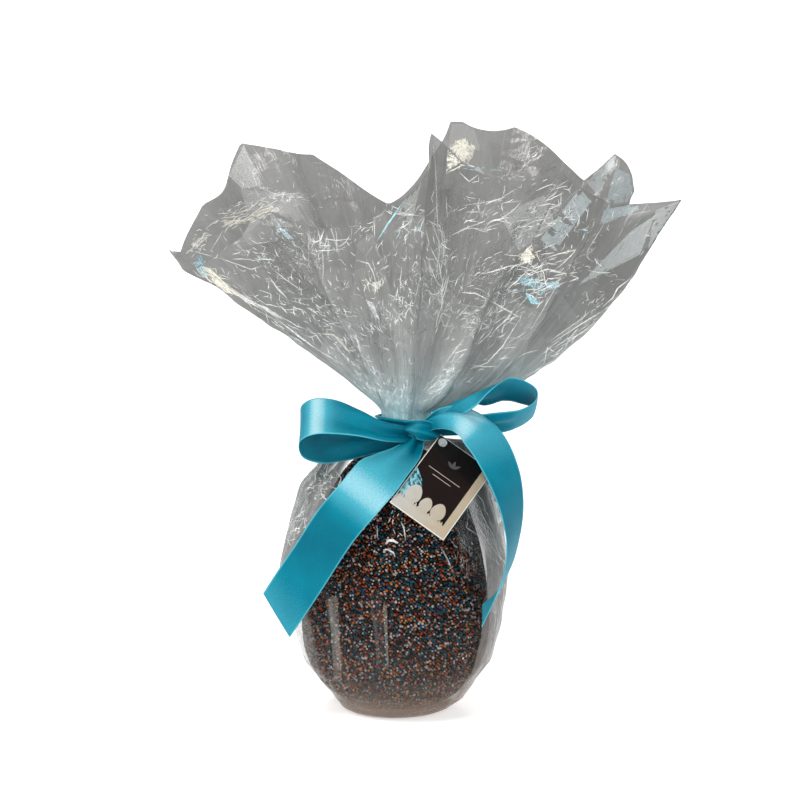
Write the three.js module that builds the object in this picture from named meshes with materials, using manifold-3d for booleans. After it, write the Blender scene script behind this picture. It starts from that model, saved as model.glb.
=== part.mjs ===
// A chocolate egg covered in sugar beads, wrapped in clear film that is gathered
// above it and tied with a satin ribbon, with a small card tag on the knot.
// Millimetres. +Z is up, +X is to the right as seen from the front, +Y is away
// from the viewer. The origin is on the flat base, under the middle of the egg.

import * as THREE from "three";
import { mergeVertices } from "three/addons/utils/BufferGeometryUtils.js";
import Module from "manifold-3d";

const wasm = await Module();
wasm.setup();

// The bunched film where the ribbon ties it
const NECK_X = 3;
const NECK_HALF_WIDTH = 12.5;
const NECK_HALF_DEPTH = 10.5;
const NECK_BOTTOM = 144;
const NECK_TOP = 158;
const TIE_HEIGHT = 151;

// The shut bag round the egg: middle, half width and half depth at each height
const BAG_RINGS = [
  { z: 0, x: -2.5, a: 25.5, b: 24 },
  { z: 2, x: -2, a: 29.5, b: 27.5 },
  { z: 7, x: -0.5, a: 34.7, b: 32.5 },
  { z: 14, x: -1, a: 40, b: 39 },
  { z: 28, x: -1.3, a: 50, b: 49.5 },
  { z: 48, x: -1.5, a: 55.3, b: 54 },
  { z: 72, x: -3.5, a: 60.7, b: 54 },
  { z: 97, x: -2.2, a: 57, b: 48 },
  { z: 119, x: -2.2, a: 50, b: 38.5 },
  { z: 132, x: 0, a: 41, b: 27 },
  { z: 138, x: 3.5, a: 32.5, b: 18 },
  { z: 141.5, x: 8, a: 26.5, b: 14 },
  { z: NECK_BOTTOM, x: NECK_X, a: NECK_HALF_WIDTH, b: NECK_HALF_DEPTH },
];
const BAG_ROWS = [0, 2, 7, 14, 23, 35, 48, 62, 77, 92, 106, 119, 127, 133, 138, 141.5, NECK_BOTTOM];

// Pleats run down from the neck and fade out over the egg
const PLEATS = 13;
const PLEAT_DEPTH = 2.6;
const PLEAT_SHARE = 0.06;
const PLEATS_FADE_FROM = 88;
const PLEATS_FULL_AT = 134;

// The free edge of the film above the tie: its peaks, anticlockwise from the
// right as seen from above, and how far the edge sinks before the next peak
const RIM_PEAKS = [
  { at: 0, x: 144, y: 2, z: 268.5, sink: 4 },
  { at: 6, x: 122, y: 12, z: 259, sink: 0 },
  { at: 13, x: 128, y: 24, z: 274, sink: -2 },
  { at: 25, x: 113, y: 40, z: 294.5, sink: 2 },
  { at: 31, x: 101, y: 46, z: 280, sink: -4 },
  { at: 48, x: 61, y: 58, z: 310, sink: 4 },
  { at: 62, x: 36, y: 60, z: 313, sink: 0 },
  { at: 67, x: 29, y: 60, z: 313, sink: 0 },
  { at: 71, x: 25, y: 58, z: 303, sink: 6 },
  { at: 92, x: -6, y: 52, z: 268, sink: 3 },
  { at: 128, x: -46, y: 56, z: 295, sink: 2 },
  { at: 153, x: -85, y: 46, z: 300.5, sink: 3 },
  { at: 166, x: -98, y: 30, z: 273, sink: 0 },
  { at: 172, x: -107, y: 20, z: 266, sink: 0 },
  { at: 180, x: -111, y: 3, z: 242, sink: 0 },
  { at: 185, x: -119.5, y: -4, z: 243, sink: 0 },
  { at: 190, x: -115, y: -10, z: 231, sink: 6 },
  { at: 215, x: -68, y: -42, z: 262, sink: 12 },
  { at: 262, x: -4, y: -57, z: 265.5, sink: 4 },
  { at: 277, x: 14.5, y: -58, z: 283, sink: 0 },
  { at: 280, x: 15, y: -58, z: 299.5, sink: 0 },
  { at: 286, x: 23, y: -57, z: 294, sink: 12 },
  { at: 325, x: 84, y: -44, z: 281, sink: 12 },
];
const FILM_THICKNESS = 1.2;
const FLARE_ROWS = 9;
const THROAT_ROW = 2;
const THROAT_FLOOR = 161;
const OPENING_POWER = 1.12;
const BELLY = 14;
const BELLY_TO_RIGHT = 14;
const RUFFLES = 12;
const RUFFLE_DEPTH = 6;
const COLUMNS = 72;

// The satin ribbon
const RIBBON_THICKNESS = 1;
const RIBBON_STEP = 4;
const KNOT = { x: 11, y: -17, z: 150, halfWidth: 6.5, halfDepth: 5, halfHeight: 6 };
const BAND_HEIGHT = 6.5;
const BAND_THICKNESS = 1.6;
const BAND_GAP = 2;
const BAND_TILT = 0.1;

// The card tag: three of its corners fix its plane, the fourth follows
const TAG_WIDTH = 33;
const TAG_HEIGHT = 48;
const TAG_THICKNESS = 0.8;
const TAG_LOW_LEFT = new THREE.Vector3(-5.2, -47.4, 116.7);
const TAG_ALONG = new THREE.Vector3(26.5, -4, -18.5).normalize();
const TAG_UP = new THREE.Vector3(0.527, 0.527, 0.665).normalize();
const FASTENER_RADIUS = 2.4;
const FASTENER_THICKNESS = 1.6;
const FASTENER_INSET = 3.6;
const FASTENER_GAP = 0.3;

const filmLook = new THREE.MeshStandardMaterial({ color: 0x97999a, roughness: 0.12, metalness: 0 });
const satinLook = new THREE.MeshStandardMaterial({ color: 0x0a9ab8, roughness: 0.38, metalness: 0 });
const cardLook = new THREE.MeshStandardMaterial({ color: 0x231512, roughness: 0.25, metalness: 0 });
const clearLook = new THREE.MeshStandardMaterial({ color: 0xc9d4d4, roughness: 0.1, metalness: 0 });

function vector([x, y, z]) {
  return new THREE.Vector3(x, y, z);
}

// A closed body from rows of points round an axis, with a point at each end
function closedGrid(firstPole, rows, lastPole) {
  const columns = rows[0].length;
  const points = [firstPole, ...rows.flat(), lastPole];
  const last = points.length - 1;
  const index = (row, column) => 1 + row * columns + (column % columns);
  const faces = [];
  for (let column = 0; column < columns; column += 1) {
    faces.push(0, index(0, column + 1), index(0, column));
    for (let row = 0; row + 1 < rows.length; row += 1) {
      const a = index(row, column);
      const b = index(row, column + 1);
      const c = index(row + 1, column + 1);
      const d = index(row + 1, column);
      faces.push(a, b, c, a, c, d);
    }
    faces.push(index(rows.length - 1, column), index(rows.length - 1, column + 1), last);
  }
  return indexedGeometry(points, faces);
}

function indexedGeometry(points, faces) {
  const geometry = new THREE.BufferGeometry();
  geometry.setFromPoints(points);
  geometry.setIndex(faces);
  return geometry;
}

function columnAngle(column) {
  return (2 * Math.PI * column) / COLUMNS;
}

// The waves of the pleats are uneven round the neck
function pleatWave(angle) {
  return Math.cos(PLEATS * angle + 1.4 * Math.sin(3 * angle + 0.5));
}

// Middle, half width and half depth of the bag, smooth from ring to ring
const bagShape = new THREE.Vector3();
const bagCurve = new THREE.CatmullRomCurve3(
  BAG_RINGS.map((ring) => new THREE.Vector3(ring.x, ring.a, ring.b)),
  false,
  "catmullrom",
  0.35,
);

function bagShapeAt(height) {
  let ring = 0;
  while (ring + 2 < BAG_RINGS.length && BAG_RINGS[ring + 1].z < height) ring += 1;
  const low = BAG_RINGS[ring];
  const high = BAG_RINGS[ring + 1];
  const share = (height - low.z) / (high.z - low.z);
  return bagCurve.getPoint((ring + share) / (BAG_RINGS.length - 1), bagShape);
}

function bagPoint(height, angle) {
  const shape = bagShapeAt(height);
  const fade = THREE.MathUtils.smoothstep(height, PLEATS_FADE_FROM, PLEATS_FULL_AT);
  const depth = Math.min(PLEAT_DEPTH, PLEAT_SHARE * shape.y) * fade * pleatWave(angle);
  return new THREE.Vector3(
    shape.x + (shape.y + depth) * Math.cos(angle),
    (shape.z + depth) * Math.sin(angle),
    height,
  );
}

function rimPoint(angle) {
  const degrees = THREE.MathUtils.radToDeg(angle);
  let peak = 0;
  while (peak + 1 < RIM_PEAKS.length && RIM_PEAKS[peak + 1].at <= degrees) peak += 1;
  const from = RIM_PEAKS[peak];
  const to = RIM_PEAKS[(peak + 1) % RIM_PEAKS.length];
  const span = (to.at - from.at + 360) % 360;
  const share = (degrees - from.at) / span;
  const point = vector([from.x, from.y, from.z]).lerp(vector([to.x, to.y, to.z]), share);
  const hollow = 4 * share * (1 - share) * from.sink;
  const inward = new THREE.Vector3(NECK_X, 0, NECK_TOP).sub(point).normalize();
  return point.addScaledVector(inward, hollow);
}

// The film above the tie opens like a trumpet, hangs lower on the right, and
// its ruffles deepen towards the free edge
function flarePoint(angle, share) {
  const start = bagPoint(NECK_BOTTOM, angle).setZ(NECK_TOP);
  const point = rimPoint(angle).sub(start);
  const opening = Math.pow(share, OPENING_POWER);
  const belly = (BELLY + BELLY_TO_RIGHT * Math.cos(angle)) * 4 * share * (1 - share);
  const wave = Math.cos(RUFFLES * angle + 2 * Math.sin(2 * angle));
  const ruffle = RUFFLE_DEPTH * wave * Math.sin(0.8 * Math.PI * share);
  return new THREE.Vector3(
    start.x + point.x * opening + ruffle * Math.cos(angle),
    start.y + point.y * opening + ruffle * Math.sin(angle),
    start.z + point.z * share - belly,
  );
}

function flareRows() {
  const rows = [];
  for (let row = 0; row <= FLARE_ROWS; row += 1) {
    const share = row / FLARE_ROWS;
    rows.push(Array.from({ length: COLUMNS }, (_, j) => flarePoint(columnAngle(j), share)));
  }
  return rows;
}

// The same rows moved out or in along the surface's normal
function offsetRows(rows, distance) {
  return rows.map((points, row) =>
    points.map((point, column) => {
      const above = rows[Math.min(row + 1, rows.length - 1)][column];
      const below = rows[Math.max(row - 1, 0)][column];
      const next = points[(column + 1) % COLUMNS];
      const previous = points[(column + COLUMNS - 1) % COLUMNS];
      const up = above.clone().sub(below);
      const round = next.clone().sub(previous);
      const normal = round.cross(up).normalize();
      return point.clone().addScaledVector(normal, distance);
    }),
  );
}

// The wrapped egg and the open film above it are one closed body. Its skin runs
// from the base up the bag, through the neck, out to the free edge and back
// down inside to the throat.
function eggInFilm() {
  const rows = BAG_ROWS.map((height) =>
    Array.from({ length: COLUMNS }, (_, j) => bagPoint(height, columnAngle(j))),
  );
  const flare = flareRows();
  const outside = offsetRows(flare, FILM_THICKNESS / 2);
  const inside = offsetRows(flare, -FILM_THICKNESS / 2);
  rows.push(flare[0]);
  rows.push(...outside.slice(1));
  rows.push(...inside.slice(THROAT_ROW).reverse());
  const base = new THREE.Vector3(BAG_RINGS[0].x, 0, 0);
  const throat = new THREE.Vector3(NECK_X, 0, THROAT_FLOOR);
  return closedGrid(base, rows, throat);
}

function toSolid(geometry) {
  const bare = geometry.clone();
  bare.deleteAttribute("normal");
  bare.deleteAttribute("uv");
  const merged = mergeVertices(bare, 1e-4);
  const mesh = new wasm.Mesh({
    numProp: 3,
    vertProperties: new Float32Array(merged.attributes.position.array),
    triVerts: new Uint32Array(merged.index.array),
  });
  mesh.merge();
  return new wasm.Manifold(mesh);
}

function toGeometry(solid) {
  const mesh = solid.getMesh();
  const geometry = new THREE.BufferGeometry();
  geometry.setAttribute("position", new THREE.BufferAttribute(mesh.vertProperties, 3));
  geometry.setIndex(new THREE.BufferAttribute(mesh.triVerts, 1));
  return geometry;
}

// A flat ribbon through stations: the middle of the ribbon, the way across it,
// and its width there. Each cross section has two points on either edge.
function ribbonStrip(stations) {
  const middles = new THREE.CatmullRomCurve3(stations.map((s) => vector(s.at)));
  const acrosses = new THREE.CatmullRomCurve3(stations.map((s) => vector(s.across).setLength(s.width)));
  const steps = Math.round(middles.getLength() / RIBBON_STEP);
  const points = [];
  for (let step = 0; step <= steps; step += 1) {
    const share = step / steps;
    const middle = middles.getPoint(share);
    const half = acrosses.getPoint(share).multiplyScalar(0.5);
    const face = middles.getTangent(share).cross(half).setLength(RIBBON_THICKNESS / 2);
    const near = middle.clone().sub(half);
    const far = middle.clone().add(half);
    points.push(near.clone().add(face), far.clone().add(face));
    points.push(far.clone().sub(face), near.clone().sub(face));
  }
  const faces = [];
  for (let step = 0; step < steps; step += 1) {
    for (let side = 0; side < 4; side += 1) {
      const a = 4 * step + side;
      const b = 4 * step + ((side + 1) % 4);
      faces.push(a, b + 4, b, a, a + 4, b + 4);
    }
  }
  const end = 4 * steps;
  faces.push(0, 1, 2, 0, 2, 3, end, end + 2, end + 1, end, end + 3, end + 2);
  return indexedGeometry(points, faces);
}

const LEFT_LOOP = [
  { at: [6, -19, 147.5], across: [0, 0.3, 0.95], width: 8 },
  { at: [-8, -25, 150], across: [0, 0.6, 0.8], width: 13 },
  { at: [-20, -28.5, 154.5], across: [0, 0.72, 0.7], width: 19 },
  { at: [-32, -29.5, 157.8], across: [0, 0.72, 0.7], width: 23 },
  { at: [-43, -28.5, 158.3], across: [0, 0.72, 0.7], width: 24 },
  { at: [-50, -25, 155], across: [0, 0.72, 0.7], width: 24 },
  { at: [-51.5, -20.5, 150], across: [0, 0.72, 0.7], width: 24 },
  { at: [-49, -16.5, 144.5], across: [0, 0.72, 0.7], width: 24 },
  { at: [-40, -15, 141.8], across: [0, 0.72, 0.7], width: 24 },
  { at: [-28, -14.8, 142.4], across: [0, 0.72, 0.7], width: 21 },
  { at: [-14, -16, 144.5], across: [0, 0.6, 0.8], width: 15 },
  { at: [6, -16, 146.5], across: [0, 0.3, 0.95], width: 8 },
];

const RIGHT_LOOP = [
  { at: [14, -18, 151.5], across: [0, 0.9, 0.3], width: 8 },
  { at: [32.2, -20.5, 162.5], across: [-0.2, 0.95, 0.1], width: 14 },
  { at: [43.5, -25, 166.5], across: [-0.05, 0.9, -0.43], width: 22 },
  { at: [54, -26, 171.5], across: [0, 0.84, -0.54], width: 24 },
  { at: [62.5, -27, 170.3], across: [0, 0.83, -0.56], width: 24 },
  { at: [69, -26.5, 166.7], across: [0, 0.88, -0.47], width: 24 },
  { at: [68, -25, 161], across: [0, 0.9, -0.43], width: 24 },
  { at: [59.5, -22, 155.8], across: [0, 0.88, -0.47], width: 24 },
  { at: [46, -16.5, 153], across: [0, 0.85, -0.5], width: 21 },
  { at: [31, -13.5, 151.5], across: [0, 0.85, -0.5], width: 15 },
  { at: [14, -15.5, 150], across: [0, 0.8, -0.6], width: 7 },
];

const RIGHT_TAIL = [
  { at: [12, -19.5, 152], across: [0.2, 0.6, 0.75], width: 8 },
  { at: [19, -25, 156.3], across: [0, 0.7, 0.7], width: 12 },
  { at: [27, -29, 157.3], across: [0.1, 0.8, 0.6], width: 18 },
  { at: [34.5, -31, 154.4], across: [0.35, 0.75, 0.5], width: 22 },
  { at: [41, -32, 148.9], across: [0.65, 0.65, 0.35], width: 24 },
  { at: [46.5, -32, 141.3], across: [0.78, 0.6, 0.2], width: 24 },
  { at: [51.5, -32, 131], across: [0.75, 0.65, 0.1], width: 24 },
  { at: [55, -33, 120.8], across: [0.65, 0.75, 0.05], width: 24 },
  { at: [57.3, -35, 108.5], across: [0.5, 0.86, 0], width: 24 },
  { at: [57.4, -38, 95.3], across: [0.33, 0.94, 0], width: 24 },
  { at: [54.6, -43, 82.1], across: [0.22, 0.97, 0], width: 24 },
  { at: [48.3, -49, 69.8], across: [0.12, 0.99, 0], width: 24 },
  { at: [41, -54.5, 60.5], across: [0.05, 0.96, 0.25], width: 25 },
];

const LEFT_TAIL = [
  { at: [9, -19, 146.5], across: [0.95, -0.1, -0.2], width: 7 },
  { at: [6.5, -24, 142.5], across: [0.85, -0.1, -0.5], width: 11 },
  { at: [2.6, -31, 138.9], across: [0.83, -0.1, -0.55], width: 15 },
  { at: [-4.5, -38.5, 134.5], across: [0.8, -0.13, -0.58], width: 20 },
  { at: [-10.8, -44, 129.8], across: [0.79, -0.15, -0.6], width: 24 },
  { at: [-20, -47.5, 119.4], across: [0.78, -0.15, -0.6], width: 24 },
  { at: [-32.5, -48.5, 104.6], across: [0.77, -0.16, -0.62], width: 24 },
  { at: [-45.6, -48, 84.4], across: [0.76, -0.18, -0.63], width: 24 },
  { at: [-62.4, -45.5, 58.8], across: [0.52, -0.1, -0.85], width: 26 },
];

// The ribbon's turns round the neck
function neckBand() {
  const inner = NECK_HALF_DEPTH + BAND_GAP;
  const outer = inner + BAND_THICKNESS;
  const half = BAND_HEIGHT / 2;
  const profile = [
    new THREE.Vector2(inner, -half),
    new THREE.Vector2(outer, -half),
    new THREE.Vector2(outer, half),
    new THREE.Vector2(inner, half),
    new THREE.Vector2(inner, -half),
  ];
  const band = new THREE.LatheGeometry(profile, 40);
  band.rotateX(Math.PI / 2);
  band.scale((NECK_HALF_WIDTH + BAND_GAP) / inner, 1, 1);
  band.rotateY(BAND_TILT);
  band.translate(NECK_X, 0, TIE_HEIGHT);
  return band;
}

function knot() {
  const lump = new THREE.SphereGeometry(1, 20, 12);
  lump.scale(KNOT.halfWidth, KNOT.halfDepth, KNOT.halfHeight);
  lump.translate(KNOT.x, KNOT.y, KNOT.z);
  return lump;
}

function ribbonBow() {
  let bow = toSolid(neckBand()).add(toSolid(knot()));
  for (const stations of [LEFT_LOOP, RIGHT_LOOP, RIGHT_TAIL, LEFT_TAIL]) {
    bow = bow.add(toSolid(ribbonStrip(stations)));
  }
  return toGeometry(bow);
}

// A matrix that lays a piece on the card: x along the card, y up it, z out of it
function tagFrame(along, up, out) {
  const normal = TAG_ALONG.clone().cross(TAG_UP).normalize();
  const upright = normal.clone().cross(TAG_ALONG).normalize();
  const place = TAG_LOW_LEFT.clone();
  place.addScaledVector(TAG_ALONG, along);
  place.addScaledVector(upright, up);
  place.addScaledVector(normal, out);
  return new THREE.Matrix4().makeBasis(TAG_ALONG, upright, normal).setPosition(place);
}

function giftTag() {
  const card = new THREE.BoxGeometry(TAG_WIDTH, TAG_HEIGHT, TAG_THICKNESS);
  card.applyMatrix4(tagFrame(TAG_WIDTH / 2, TAG_HEIGHT / 2, 0));
  return card;
}

function tagFastener() {
  const disc = new THREE.CylinderGeometry(FASTENER_RADIUS, FASTENER_RADIUS, FASTENER_THICKNESS, 24);
  disc.rotateX(Math.PI / 2);
  const out = TAG_THICKNESS / 2 + FASTENER_GAP + FASTENER_THICKNESS / 2;
  disc.applyMatrix4(tagFrame(FASTENER_INSET, TAG_HEIGHT - FASTENER_INSET, out));
  return disc;
}

function addPiece(group, name, geometry, look) {
  const piece = new THREE.Mesh(geometry, look);
  piece.name = name;
  group.add(piece);
}

const wrappedEgg = new THREE.Group();
addPiece(wrappedEgg, "egg_in_film", eggInFilm(), filmLook);
addPiece(wrappedEgg, "ribbon_bow", ribbonBow(), satinLook);
addPiece(wrappedEgg, "gift_tag", giftTag(), cardLook);
addPiece(wrappedEgg, "tag_fastener", tagFastener(), clearLook);

export default wrappedEgg;
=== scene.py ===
# The looks of the wrapped chocolate egg: clear crinkled film, a chocolate egg
# covered in sugar beads, a satin ribbon bow and a small card tag.
# Places in the tables below are in millimetres and are turned into metres.

import math
from functools import reduce

import bmesh
import bpy
import numpy as np
from mathutils import Matrix, Vector
from mathutils.bvhtree import BVHTree


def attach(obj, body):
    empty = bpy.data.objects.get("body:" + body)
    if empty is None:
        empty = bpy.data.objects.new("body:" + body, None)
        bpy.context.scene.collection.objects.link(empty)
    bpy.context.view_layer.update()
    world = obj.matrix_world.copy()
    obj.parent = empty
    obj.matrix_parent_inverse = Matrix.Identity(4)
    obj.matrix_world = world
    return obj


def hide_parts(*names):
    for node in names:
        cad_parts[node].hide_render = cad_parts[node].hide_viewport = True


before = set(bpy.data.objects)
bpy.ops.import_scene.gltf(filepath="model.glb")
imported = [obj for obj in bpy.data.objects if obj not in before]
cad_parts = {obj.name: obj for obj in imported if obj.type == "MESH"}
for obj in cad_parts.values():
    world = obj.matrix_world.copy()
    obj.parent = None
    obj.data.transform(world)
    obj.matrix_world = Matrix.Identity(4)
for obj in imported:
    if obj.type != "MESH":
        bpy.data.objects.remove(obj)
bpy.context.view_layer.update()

MM = 0.001
SEED = 7

# The photograph's view
VIEW_DISTANCE = 0.95
VIEW_ELEVATION = math.radians(5)
VIEW_TARGET = Vector((0, 0, 0.164))
METRES_PER_PIXEL = 0.000525
FRAME_PIXELS = 800
SENSOR = 36

# The chocolate egg, over its beads
EGG_X = -2.5
EGG_RADIUS = 49.5
EGG_WIDEST = 47
EGG_TOP = 142.5
EGG_BOTTOM = 0.6
CHOCOLATE_DEPTH = 1.0
BEAD_PITCH = 1.45
BEAD_RADIUS = 0.58
BEAD_JITTER = 0.26
BEAD_KINDS = [
    ("white", 0.18, (0.36, 0.32, 0.31)),
    ("orange", 0.17, (0.33, 0.06, 0.01)),
    ("rust", 0.13, (0.09, 0.012, 0.006)),
    ("amber", 0.05, (0.46, 0.17, 0.03)),
    ("teal", 0.21, (0.003, 0.07, 0.09)),
    ("blue", 0.08, (0.008, 0.06, 0.14)),
    ("plum", 0.18, (0.01, 0.006, 0.007)),
]
EGG_FOOT_POWER = 2.3

# The bunched film at the tie
NECK_X = 3
NECK_HALF_WIDTH = 12.5
NECK_HALF_DEPTH = 10.5
NECK_BOTTOM = 144
NECK_TOP = 158
TIE_HEIGHT = 151

# Height, middle, half width and half depth of the shut bag
BAG_RINGS = np.array([
    (0, -2.5, 25.5, 24),
    (2, -2, 29.5, 27.5),
    (7, -0.5, 34.7, 32.5),
    (14, -1, 40, 39),
    (28, -1.3, 50, 49.5),
    (48, -1.5, 55.3, 54),
    (72, -3.5, 60.7, 54),
    (97, -2.2, 57, 48),
    (119, -2.2, 50, 38.5),
    (132, 0, 41, 27),
    (138, 3.5, 32.5, 18),
    (141, 7.5, 28, 15),
    (143.8, 9.5, 25.5, 13.5),
    (NECK_BOTTOM, NECK_X, NECK_HALF_WIDTH, NECK_HALF_DEPTH),
], dtype=float)
PLEATS = 13
PLEAT_DEPTH = 2.6
PLEAT_SHARE = 0.06
PLEATS_FADE_FROM = 88
PLEATS_FULL_AT = 134

# The free edge of the film: angle, place and how far it sinks to the next peak
RIM_PEAKS = np.array([
    (0, 144, 2, 268.5, 4),
    (6, 122, 12, 259, 0),
    (13, 128, 24, 274, -2),
    (25, 113, 40, 294.5, 2),
    (31, 101, 46, 280, -4),
    (48, 61, 58, 310, 4),
    (62, 36, 60, 313, 0),
    (67, 29, 60, 313, 0),
    (71, 25, 58, 303, 6),
    (92, -6, 52, 268, 3),
    (128, -46, 56, 295, 2),
    (153, -85, 46, 300.5, 3),
    (166, -98, 30, 273, 0),
    (172, -107, 20, 266, 0),
    (180, -111, 3, 242, 0),
    (185, -119.5, -4, 243, 0),
    (190, -115, -10, 231, 6),
    (215, -68, -42, 262, 12),
    (262, -4, -57, 265.5, 4),
    (277, 14.5, -58, 283, 0),
    (280, 15, -58, 299.5, 0),
    (286, 23, -57, 294, 12),
    (325, 84, -44, 281, 12),
], dtype=float)
OPENING_POWER = 1.12
BELLY = 14
BELLY_TO_RIGHT = 14
RUFFLES = 12
RUFFLE_DEPTH = 6

# Wrinkles of the film: length, number of directions, height on the bag and on the fan
WRINKLES = [(62, 6, 0, 5.0), (27, 7, 0.77, 2.2), (12, 7, 0.9, 0.9)]
FOOT_GAP = 0.15
FOLD_VEIL = 0.72
FILM_COLUMNS = 420
BASE_ROWS = 8
BAG_ROWS = 84
NECK_ROWS = 8
FLARE_ROWS = 100
CREASE_STEP = 1.5
CREASE_LIFT = 0.12
CREASE_JUMP = 5
CREASE_JITTER = 0.05
PANEL_STEPS = 12
PANEL_JUMP = 12
SOFT_SHINE = 0.4
LARGE_FACETS = 30.0
SMALL_FACETS = 95.0
CRUMPLED = (0.0, 1.35)

# The satin ribbon
RIBBON_WIDTH = 24
RIBBON_THICKNESS = 0.35
RIBBON_STEPS = 14
RIBBON_ACROSS = 20
RIBBON_SHARES = np.linspace(-0.5, 0.5, RIBBON_ACROSS + 1)

# Folds of the bag's film: angle, half width, soft edge, heights and strength
VEIL_FOLDS = [
    (341, 20, 1.5, -10, 104, 0.96),
    (331, 31, 7, 84, 130, 0.6),
    (20, 22, 10, 0, 130, 0.6),
    (198, 24, 8, -5, 128, 0.55),
    (236, 3.2, 2.4, 20, 78, 0.34),
    (259.5, 1.6, 1.2, 22, 74, 0.42),
    (262.5, 3.5, 3.0, 18, 80, 0.2),
    (150, 14, 8, 12, 120, 0.5),
    (92, 20, 10, 12, 126, 0.4),
]

# Places where the film is crinkled, with painted glints on its creases, on the plane through the
# egg's axis: middle x and z, half length, half breadth, direction and spread in degrees, number of
# creases, longest crease, shine and tint: -1 a painted cyan reflection of the ribbon, 0 a white
# painted glint, 1 a cream painted glint, 2 dark
CRINKLES = [
    (-83, 261, 16, 5, 25, 16, 60, 8, 0.8, 0.5),
    (-104, 246, 6, 5, 35, 25, 30, 5, 0.9, 0.3),
    (-96, 227, 9, 4, -40, 18, 45, 7, 0.95, 0.9),
    (-105, 236, 3, 4, -60, 25, 14, 5, 0.9, -1),
    (-68, 209, 26, 3, -35, 6, 45, 12, 0.7, 0.2),
    (-61, 252, 7, 4, -50, 15, 26, 4, 0.8, -0.5),
    (-52, 242, 12, 9, -45, 30, 50, 5, 0.55, 0.1),
    (-52, 271, 16, 4, 5, 30, 34, 5, 0.6, 0.3),
    (-41, 248, 6, 13, 90, 8, 18, 13, 0.4, 0),
    (-15, 224, 5, 5, -60, 35, 30, 5, 0.9, 0.7),
    (-12, 203, 6, 15, -62, 14, 60, 6, 0.75, -0.1),
    (-37, 206, 24, 12, -42, 20, 150, 5, 0.6, 0.1),
    (-25, 187, 19, 7, -45, 16, 110, 5, 0.55, 0.1),
    (-72, 284, 10, 9, -58, 10, 14, 14, 0.3, 0),
    (-34, 281, 14, 6, -45, 20, 16, 5, 0.55, 0.2),
    (2, 256, 6, 14, 65, 15, 26, 5, 0.6, -0.5),
    (21, 242, 32, 4, 90, 5, 40, 21, 0.32, 0),
    (10, 222, 16, 12, -65, 35, 60, 4, 0.55, 0.1),
    (31, 293, 6, 5, 40, 60, 80, 6, 1, 1),
    (38, 285, 5, 1, -10, 12, 10, 4, 0.9, -1),
    (68, 292, 8, 6, 35, 25, 18, 5, 0.7, 0.3),
    (66, 239, 5, 4, 45, 90, 50, 4, 1, 1),
    (70, 222, 9, 7, 40, 50, 50, 3, 0.9, -1),
    (73, 230, 17, 12, 35, 35, 60, 14, 0.75, 0.3),
    (52, 206, 16, 10, 50, 20, 60, 9, 0.6, 0.2),
    (39, 205, 6, 5, 10, 50, 34, 4, 0.6, 0.2),
    (94, 198, 24, 6, 38, 6, 50, 19, 0.5, 0.1),
    (103, 215, 13, 4, 45, 25, 34, 4, 0.75, 0.3),
    (36, 261, 21, 10, 70, 40, 30, 3, 0.4, 0),
    (70, 256, 12, 6, 15, 25, 22, 7, 0.6, 0.1),
    (88, 276, 21, 9, 55, 8, 16, 21, 0.25, 0),
    (125, 263, 14, 10, 55, 10, 18, 16, 0.25, 0),
    (0, 164, 12, 10, 90, 28, 170, 7, 0.6, -0.35),
    (-16, 172, 9, 6, -50, 14, 60, 6, 0.65, 0),
    (21, 172, 13, 6, 45, 14, 70, 8, 0.65, -0.1),
    (-42, 118, 7, 5, 50, 60, 50, 4, 0.95, 0.4),
    (-53, 98, 7, 3, 62, 40, 16, 4, 0.8, 0.4),
    (-54, 100, 18, 4, 64, 7, 50, 19, 0.33, 0),
    (-58, 20, 18, 4, -62, 9, 20, 13, 0.33, 0.2),
    (44, 98, 20, 5, -62, 7, 60, 21, 0.33, 0),
    (52, 47, 26, 4, 87, 5, 34, 21, 0.28, -0.1),
    (36, 79, 20, 8, -72, 12, 34, 10, 0.25, 0),
    (38, 9, 13, 4, 38, 12, 26, 10, 0.3, 0.6),
    (-35, 6, 13, 4, -45, 9, 22, 13, 0.3, 0.6),
    (-3, 99, 7, 5, 82, 28, 9, 5, 0.7, 0.6),
    (-55, 232, 48, 26, -40, 34, 300, 5, 0.5, 0),
    (62, 230, 50, 26, 45, 30, 280, 5, 0.46, 0),
    (4, 224, 34, 24, 90, 30, 200, 5, 0.5, 0),
    (-52, 230, 48, 26, -42, 26, 170, 8, 0.45, 2),
    (60, 244, 50, 30, 48, 22, 220, 9, 0.5, 2),
    (2, 205, 30, 18, 90, 14, 90, 11, 0.4, 2),
]
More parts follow.
